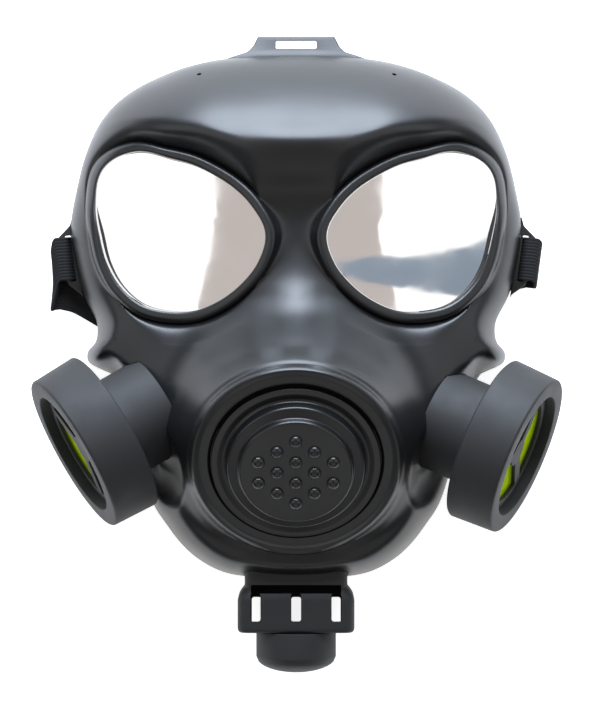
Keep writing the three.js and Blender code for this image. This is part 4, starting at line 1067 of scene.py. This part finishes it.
class MASKPART_OT_speech_disc(bpy.types.Operator):
    """Turn the stepped speech disc and set its domed studs"""

    bl_idname = "maskpart.speech_disc"
    bl_label = "Speech disc"

    def execute(self, context):
        sizes = context.scene.mask_sizes
        seat = FIT
        flange = seat + DISC_WALL
        step = flange + STEP_HEIGHT
        crown = step + CROWN_STEP_HEIGHT
        bottom = seat - WALL - 1
        under = DISC_WALL
        profile = rounded_profile([
            (0, crown, 0), (CROWN_STEP_RADIUS, crown, 1.1), (CROWN_STEP_RADIUS + 0.5, step + 0.5, 0.8),
            (STEP_RADIUS - 0.4, step, 1.2), (STEP_RADIUS + 0.3, flange - 0.3, 1.2),
            (STEP_RADIUS + 1.4, flange - 0.9, 1.4), (RING_RADIUS - RING_LIP - 3, flange, 3),
            (RING_RADIUS - RING_LIP - FIT, flange, 0.4),
            (RING_RADIUS - RING_LIP - FIT, seat, 0), (VOICE_HOLE_RADIUS - FIT, seat, 0),
            (VOICE_HOLE_RADIUS - FIT, bottom, 0.4), (STEP_RADIUS - under, bottom, 0.4),
            (STEP_RADIUS - under, step - under, 0.6), (CROWN_STEP_RADIUS - under, step - under, 0.6),
            (CROWN_STEP_RADIUS - under, crown - under, 0.6), (0, crown - under, 0)])
        piece = turned("speech_disc_moulding", profile, muzzle_matrix(), 200)
        radius, height = sizes.stud_radius / MM, sizes.stud_height / MM
        arc = np.linspace(0, math.pi / 2, 9)
        dome = [(0, -1), (radius, -1), *[(radius * math.cos(a), 0.15 + height * math.sin(a)) for a in arc]]
        for column, count in enumerate(STUD_COLUMNS):
            for row in range(count):
                x = (column - (len(STUD_COLUMNS) - 1) / 2) * STUD_PITCH_X
                y = (row - (count - 1) / 2) * STUD_PITCH_Y
                stud = turned("stud", dome, muzzle_matrix() @ Matrix.Translation((x, y, crown)), 32)
                combine(piece, stud, "UNION")
        finishes = context.scene.mask_finishes
        disc = ready_material("moulded_vinyl_disc", moulded_vinyl, finishes.vinyl,
                              finishes.vinyl_roughness - 0.06, 0.3)
        finish_piece(piece, disc, "speech_disc")
        return {"FINISHED"}


class MASKPART_OT_filter_cans(bpy.types.Operator):
    """Turn the two filter drums with their necks"""

    bl_idname = "maskpart.filter_cans"
    bl_label = "Filter cans"

    def execute(self, context):
        edge = context.scene.mask_sizes.edge / MM
        ledge = MOUTH_RADIUS - LEDGE
        neck_end = -DRUM_LENGTH - NECK_LENGTH
        back = -DRUM_LENGTH + FILTER_WALL
        front = DRUM_RADIUS - DRUM_DRAFT
        profile = rounded_profile([
            (MOUTH_RADIUS, 0, 0.5), (front, 0, edge), (DRUM_RADIUS, -DRUM_LENGTH, edge),
            (NECK_RADIUS, -DRUM_LENGTH, 0.5), (NECK_RADIUS, neck_end, 0.4),
            (NECK_RADIUS - FILTER_WALL, neck_end, 0.4), (NECK_RADIUS - FILTER_WALL, back, 0.3),
            (ledge, back, 0.4), (ledge, -MOUTH_DEPTH, 0.3), (MOUTH_RADIUS, -MOUTH_DEPTH, 0.2)])
        for side in FILTERS:
            piece = turned(f"filter_can_moulding_{side}", profile, filter_matrix(side), 180)
            finish_piece(place_on_side(piece, side), plastic(context), f"filter_can_{side}")
        return {"FINISHED"}


class MASKPART_OT_filter_grilles(bpy.types.Operator):
    """Cut the three spoked grille plates"""

    bl_idname = "maskpart.filter_grilles"
    bl_label = "Filter grilles"

    def execute(self, context):
        for side, (*_, turn) in FILTERS.items():
            matrix = filter_matrix(side) @ Matrix.Translation((0, 0, -GRILLE_RECESS - GRILLE_THICKNESS))
            name = f"filter_grille_plate_{side}"
            piece = place_on_side(flat_plate(name, self.outlines(turn), GRILLE_THICKNESS, 0.3, matrix), side)
            finish_piece(piece, plastic(context), f"filter_grille_{side}")
        return {"FINISHED"}

    def outlines(self, turn):
        radius = MOUTH_RADIUS - FIT
        inner = radius - GRILLE_RING
        around = np.radians(np.arange(0, 360, 2.5))
        outlines = [list(zip(radius * np.cos(around), radius * np.sin(around)))]
        far = math.pi / 3 - math.asin(GRILLE_SPOKE / 2 / inner)
        close = math.pi / 3 - math.asin(GRILLE_SPOKE / 2 / GRILLE_HUB)
        for n in range(3):
            middle = math.radians(120 * n + turn)
            arc = middle + np.linspace(-far, far, 28)
            back = middle + np.linspace(close, -close, 8)
            window = [(inner * math.cos(a), inner * math.sin(a), 1.2 if i in (0, 27) else 0)
                      for i, a in enumerate(arc)]
            window += [(GRILLE_HUB * math.cos(a), GRILLE_HUB * math.sin(a), 0) for a in back]
            outlines.append(rounded_profile(window))
        return outlines


class MASKPART_OT_filter_sheets(bpy.types.Operator):
    """Set the fluorescent sheets behind the grilles"""

    bl_idname = "maskpart.filter_sheets"
    bl_label = "Filter sheets"

    def execute(self, context):
        radius = MOUTH_RADIUS - FIT
        bottom = -MOUTH_DEPTH + FIT
        top = bottom + PAD_THICKNESS
        profile = rounded_profile([
            (0, bottom, 0), (radius, bottom, 0.3), (radius, top, 0.3), (radius * 0.55, top - 0.25, 4),
            (0, top, 0)])
        finishes = context.scene.mask_finishes
        sheet = ready_material("fluorescent_acrylic", fluorescent_acrylic, finishes.pad)
        for side in FILTERS:
            piece = place_on_side(turned(f"filter_sheet_{side}", profile, filter_matrix(side), 120), side)
            finish_piece(piece, sheet, f"filter_pad_{side}")
        return {"FINISHED"}


def collar_section(drop, share_of_size, inset, steps=8):
    """Rounded rectangle across the collar at a distance below the part's origin line."""
    corner = max(COLLAR_CORNER - inset, 1)
    half_width = COLLAR_HALF_WIDTH * share_of_size - inset
    half_depth = COLLAR_HALF_DEPTH * share_of_size - inset
    points = []
    for sx, sz, start in ((1, 1, 0), (-1, 1, 90), (-1, -1, 180), (1, -1, 270)):
        for k in range(steps + 1):
            turn = math.radians(start + 90 * k / steps)
            points.append((sx * (half_width - corner) + corner * math.cos(turn), -drop,
                           OUTLET_DEPTH + sz * (half_depth - corner) + corner * math.sin(turn)))
    return points


def collar_loft(name, inset, top, bottom):
    """Collar's neck, and its flared body where the bottom lies below the flare."""
    sections = [collar_section(drop, COLLAR_NECK_SHARE, inset) for drop in (top, COLLAR_FLARE_START)]
    if bottom > COLLAR_FLARE_END:
        for t in np.linspace(0, 1, 9)[1:]:
            drop = COLLAR_FLARE_START + (COLLAR_FLARE_END - COLLAR_FLARE_START) * t
            size = COLLAR_NECK_SHARE + (1 - COLLAR_NECK_SHARE) * math.sin(t * math.pi / 2)
            sections.append(collar_section(drop, size, inset))
        for t in np.linspace(0, math.pi / 2, 6):
            sections.append(collar_section(bottom - 2 + 2 * math.sin(t), 1, inset + 1.6 * (1 - math.cos(t))))
    return loft(name, sections)


class MASKPART_OT_outlet_collar(bpy.types.Operator):
    """Mould the chin collar with its vent, windows and bore"""

    bl_idname = "maskpart.outlet_collar"
    bl_label = "Outlet collar"

    def execute(self, context):
        piece = collar_loft("outlet_collar_moulding", 0, COLLAR_TOP, COLLAR_BOTTOM)
        cavity = collar_loft("cavity", COLLAR_WALL, COLLAR_TOP - 1, COLLAR_BOTTOM - COLLAR_WALL)
        combine(piece, cavity, "DIFFERENCE")
        bore = [(0, -3 * COLLAR_WALL), (SPIGOT_RADIUS + FIT, -3 * COLLAR_WALL),
                (SPIGOT_RADIUS + FIT, COLLAR_WALL), (0, COLLAR_WALL)]
        combine(piece, turned("bore", bore, outlet_matrix(), 96), "DIFFERENCE")
        reach = COLLAR_HALF_DEPTH + 1
        middle = -(WINDOW_TOP + WINDOW_BOTTOM) / 2
        for column in (-1, 0, 1):
            outline = slot_outline(WINDOW_WIDTH, WINDOW_BOTTOM - WINDOW_TOP, 1.1)
            matrix = Matrix.Translation((column * WINDOW_SPACING, middle, OUTLET_DEPTH)) @ Matrix.Shear(
                "XY", 4, (0, WINDOW_SLANT / reach)) @ Matrix.Translation((0, 0, -reach))
            combine(piece, flat_plate("window", [outline], 2 * reach, CUT_EDGE, matrix), "DIFFERENCE")
        outline = slot_outline(2 * VENT_HALF_WIDTH, VENT_HEIGHT, 0.6)
        matrix = Matrix.Translation((0, -VENT_TOP - VENT_HEIGHT / 2, OUTLET_DEPTH + COLLAR_HALF_DEPTH / 2))
        combine(piece, flat_plate("vent", [outline], COLLAR_HALF_DEPTH, CUT_EDGE, matrix), "DIFFERENCE")
        finish_piece(piece, plastic(context), "outlet_collar", 35)
        return {"FINISHED"}


class MASKPART_OT_outlet_cap(bpy.types.Operator):
    """Turn the domed cap under the collar"""

    bl_idname = "maskpart.outlet_cap"
    bl_label = "Outlet cap"

    def execute(self, context):
        inner = CAP_RADIUS - COLLAR_WALL
        arc = np.linspace(0.94, 0, 16)
        dome = [(CAP_RADIUS * s, CAP_LENGTH + CAP_DOME * math.sqrt(1 - s ** 2)) for s in arc]
        hollow = [(inner * s, CAP_LENGTH + (CAP_DOME - COLLAR_WALL) * math.sqrt(1 - s ** 2))
                  for s in arc[::-1]]
        profile = rounded_profile([
            (SPIGOT_RADIUS - COLLAR_WALL, -SPIGOT_LENGTH, 0.3), (SPIGOT_RADIUS, -SPIGOT_LENGTH, 0.3),
            (SPIGOT_RADIUS, FIT, 0), (CAP_RADIUS, FIT, 0.4), (CAP_RADIUS, CAP_LENGTH, 0.3),
            *[(*p, 0) for p in dome], *[(*p, 0) for p in hollow],
            (inner, CAP_LENGTH, 0.3), (inner, FIT + COLLAR_WALL, 0),
            (SPIGOT_RADIUS - COLLAR_WALL, FIT + COLLAR_WALL, 0)])
        piece = turned("outlet_cap_moulding", profile, outlet_matrix(), 144)
        finish_piece(piece, plastic(context), "outlet_cap", 28)
        return {"FINISHED"}


class MASKPART_OT_head_strap(bpy.types.Operator):
    """Lay the ribbed elastic strap through both side tabs"""

    bl_idname = "maskpart.head_strap"
    bl_label = "Head strap"

    def execute(self, context):
        centres, across = self.centreline()
        pitch = context.scene.mask_sizes.rib_pitch / MM
        section = self.section(pitch)
        tangents = np.gradient(centres, axis=0)
        tangents /= np.linalg.norm(tangents, axis=1, keepdims=True)
        normals = np.cross(tangents, across)
        normals /= np.linalg.norm(normals, axis=1, keepdims=True)
        points = [c + np.outer(section[:, 0], a) + np.outer(section[:, 1], n)
                  for c, a, n in zip(centres, across, normals)]
        piece = loft("head_strap_elastic", points)
        finishes = context.scene.mask_finishes
        elastic = ready_material("ribbed_elastic", ribbed_elastic, finishes.elastic)
        finish_piece(piece, elastic, "head_strap", 60)
        return {"FINISHED"}

    def section(self, pitch):
        """Cross section of the strap: ribs on both faces."""
        ribs = round(STRAP_WIDTH / pitch)
        across = np.linspace(-0.5, 0.5, ribs * 6 + 1)
        depth = 0.72 + 0.28 * np.abs(np.sin(np.pi * ribs * (across + 0.5))) ** 0.7
        rise = STRAP_THICKNESS / 2 * depth
        upper, lower = (np.stack([across * STRAP_WIDTH, side * rise], axis=1) for side in (1, -1))
        return np.concatenate([upper, lower[::-1]])

    def centreline(self):
        """Middle points of the strap from its left end to its right end, and its direction across."""
        matrix = side_tab_matrix()
        hook_steps = 46

        def turns(side, drop):
            points = []
            for i, (out, rise) in enumerate(HOOK):
                point = matrix @ Vector((out, 0, rise))
                slip = drop * min(max(i - HOOK_TURN, 0) / HOOK_SLIP, 1)
                points.append((point.x * side, point.y - slip, point.z))
            return points

        left, right = turns(-1, LEFT_DROP), turns(1, RIGHT_DROP)
        ground = STRAP_THICKNESS / 2 + 0.05
        last = len(STRAP_ROUTE) - 1
        rise = {0: 1.4, 1: 0.25}
        route = [(x, y, ground + rise.get(min(i, last - i), 0)) for i, (x, y) in enumerate(STRAP_ROUTE)]
        run = even_steps(curve_through([left[-1], *route, right[-1]]), 170)
        hooks = [even_steps(curve_through(points), hook_steps) for points in (left, right)]
        centres = np.concatenate([hooks[0][:-1], run, hooks[1][-2::-1]])
        tangent = np.gradient(run, axis=0)
        level = np.stack([-tangent[:, 1], tangent[:, 0], np.zeros(len(run))], axis=1)
        level /= np.linalg.norm(level, axis=1, keepdims=True)
        turn = smoothstep(np.arange(hook_steps), 26, 44)[:, None]
        ends = [[math.sin(SIDE_TAB_TILT) * side, math.cos(SIDE_TAB_TILT), 0] for side in (-1, 1)]
        left_end = np.array(ends[0]) + (level[0] - ends[0]) * turn
        right_end = np.tile(ends[1], (hook_steps, 1))
        upright = smoothstep(np.linspace(0, 1, len(run)), 0.86, 0.98)[:, None]
        level += (np.array([0, 1, 0]) - level) * upright
        across = np.concatenate([left_end, level, right_end])
        for _ in range(6):
            across[1:-1] = (across[:-2] + across[1:-1] * 2 + across[2:]) / 4
        return centres, across / np.linalg.norm(across, axis=1, keepdims=True)


# The camera: the frame is VIEW_WIDTH wide at VIEW_DISTANCE, all in millimetres
SENSOR_WIDTH = 36
VIEW_DISTANCE, VIEW_WIDTH = 1250, 273.15
CAMERA_PLACE = (3.4, 0, 1300)


class MASKPART_OT_studio(bpy.types.Operator):
    """Set the floor, the lights and the camera"""

    bl_idname = "maskpart.studio"
    bl_label = "Studio"

    def execute(self, context):
        studio = context.scene.mask_studio
        floor = self.sheet("floor", [(-4, -4), (4, -4), (4, 4), (-4, 4)], 0)
        floor.data.materials.append(ready_material("studio_paper", studio_paper, studio.floor, studio.glow))
        middle = (0, 0.05, 0.03)
        self.light("key", studio.key_power, (1.4, 1.3), (0, 1.5, 0.8), middle, studio.key_tint)
        self.light("front", studio.front_power, (1.2, 0.8), (0, -1.3, 0.95), (0, -0.05, 0.05))
        for name, side in (("right", 1), ("left", -1)):
            self.light(f"side_{name}", studio.side_power, (1.1, 1.1), (side * 1.1, 0.05, 1.1), middle)
            self.light(f"strip_{name}", studio.strip_power, (2.1, 0.42), (side * 0.36, 0.05, 1.2), middle,
                       studio.strip_tint)
        card = self.sheet("grey_card", [(0.28, -0.03), (0.28, -0.078), (0.95, -0.05), (0.95, 0.14)], 0.9)
        card.data.materials.append(ready_material("grey_card", studio_paper, studio.card, 0))
        world = bpy.data.worlds.new("soft_room")
        world.use_nodes = True
        world.node_tree.nodes["Background"].inputs["Strength"].default_value = studio.fill
        world.node_tree.nodes["Background"].inputs["Color"].default_value = (1, 1, 1, 1)
        context.scene.world = world
        context.scene.view_settings.view_transform = "Standard"
        self.camera(context)
        return {"FINISHED"}

    def sheet(self, name, corners, height):
        mesh = bpy.data.meshes.new(name)
        mesh.from_pydata([(x, y, height) for x, y in corners], [], [(0, 1, 2, 3)])
        piece = bpy.data.objects.new(name, mesh)
        bpy.context.scene.collection.objects.link(piece)
        return piece

    def light(self, name, power, size, place, target, tint=(1, 1, 1)):
        lamp = bpy.data.lights.new(name, "AREA")
        lamp.color = tint
        lamp.shape = "RECTANGLE"
        lamp.size, lamp.size_y = size
        lamp.energy = power
        piece = bpy.data.objects.new(name, lamp)
        piece.location = place
        piece.rotation_euler = (Vector(target) - Vector(place)).to_track_quat("-Z", "Y").to_euler()
        bpy.context.scene.collection.objects.link(piece)
        return piece

    def camera(self, context):
        lens = bpy.data.cameras.new("camera")
        lens.sensor_fit = "HORIZONTAL"
        lens.sensor_width = SENSOR_WIDTH
        lens.lens = SENSOR_WIDTH * VIEW_DISTANCE / VIEW_WIDTH
        lens.clip_end = 50
        piece = bpy.data.objects.new("camera", lens)
        piece.location = ORIGIN + Vector(CAMERA_PLACE) * MM
        context.scene.collection.objects.link(piece)
        context.scene.camera = piece


OPERATORS = [
    MASKPART_OT_face_shell, MASKPART_OT_lenses, MASKPART_OT_speech_disc, MASKPART_OT_filter_cans,
    MASKPART_OT_filter_grilles, MASKPART_OT_filter_sheets, MASKPART_OT_outlet_collar,
    MASKPART_OT_outlet_cap, MASKPART_OT_head_strap, MASKPART_OT_studio,
]


class MASKPART_PT_panel(bpy.types.Panel):
    """Lists the mask's sizes, finishes and pieces"""

    bl_idname = "MASKPART_PT_panel"
    bl_label = "Costume gas mask"
    bl_space_type = "VIEW_3D"
    bl_region_type = "UI"
    bl_category = "Gas mask"

    def draw(self, context):
        layout = self.layout
        for group in (context.scene.mask_sizes, context.scene.mask_finishes, context.scene.mask_studio):
            box = layout.box()
            for name in group.__annotations__:
                box.prop(group, name)
        for operator in OPERATORS:
            layout.operator(operator.bl_idname)


CLASSES = [MaskSizes, MaskFinishes, MaskStudio, *OPERATORS, MASKPART_PT_panel]


def register():
    for item in CLASSES:
        bpy.utils.register_class(item)
    bpy.types.Scene.mask_sizes = bpy.props.PointerProperty(type=MaskSizes)
    bpy.types.Scene.mask_finishes = bpy.props.PointerProperty(type=MaskFinishes)
    bpy.types.Scene.mask_studio = bpy.props.PointerProperty(type=MaskStudio)


def unregister():
    del bpy.types.Scene.mask_studio
    del bpy.types.Scene.mask_finishes
    del bpy.types.Scene.mask_sizes
    for item in reversed(CLASSES):
        bpy.utils.unregister_class(item)


def main():
    register()
    for operator in OPERATORS:
        group, name = operator.bl_idname.split(".")
        getattr(getattr(bpy.ops, group), name)()


if __name__ == "__main__":
    main()
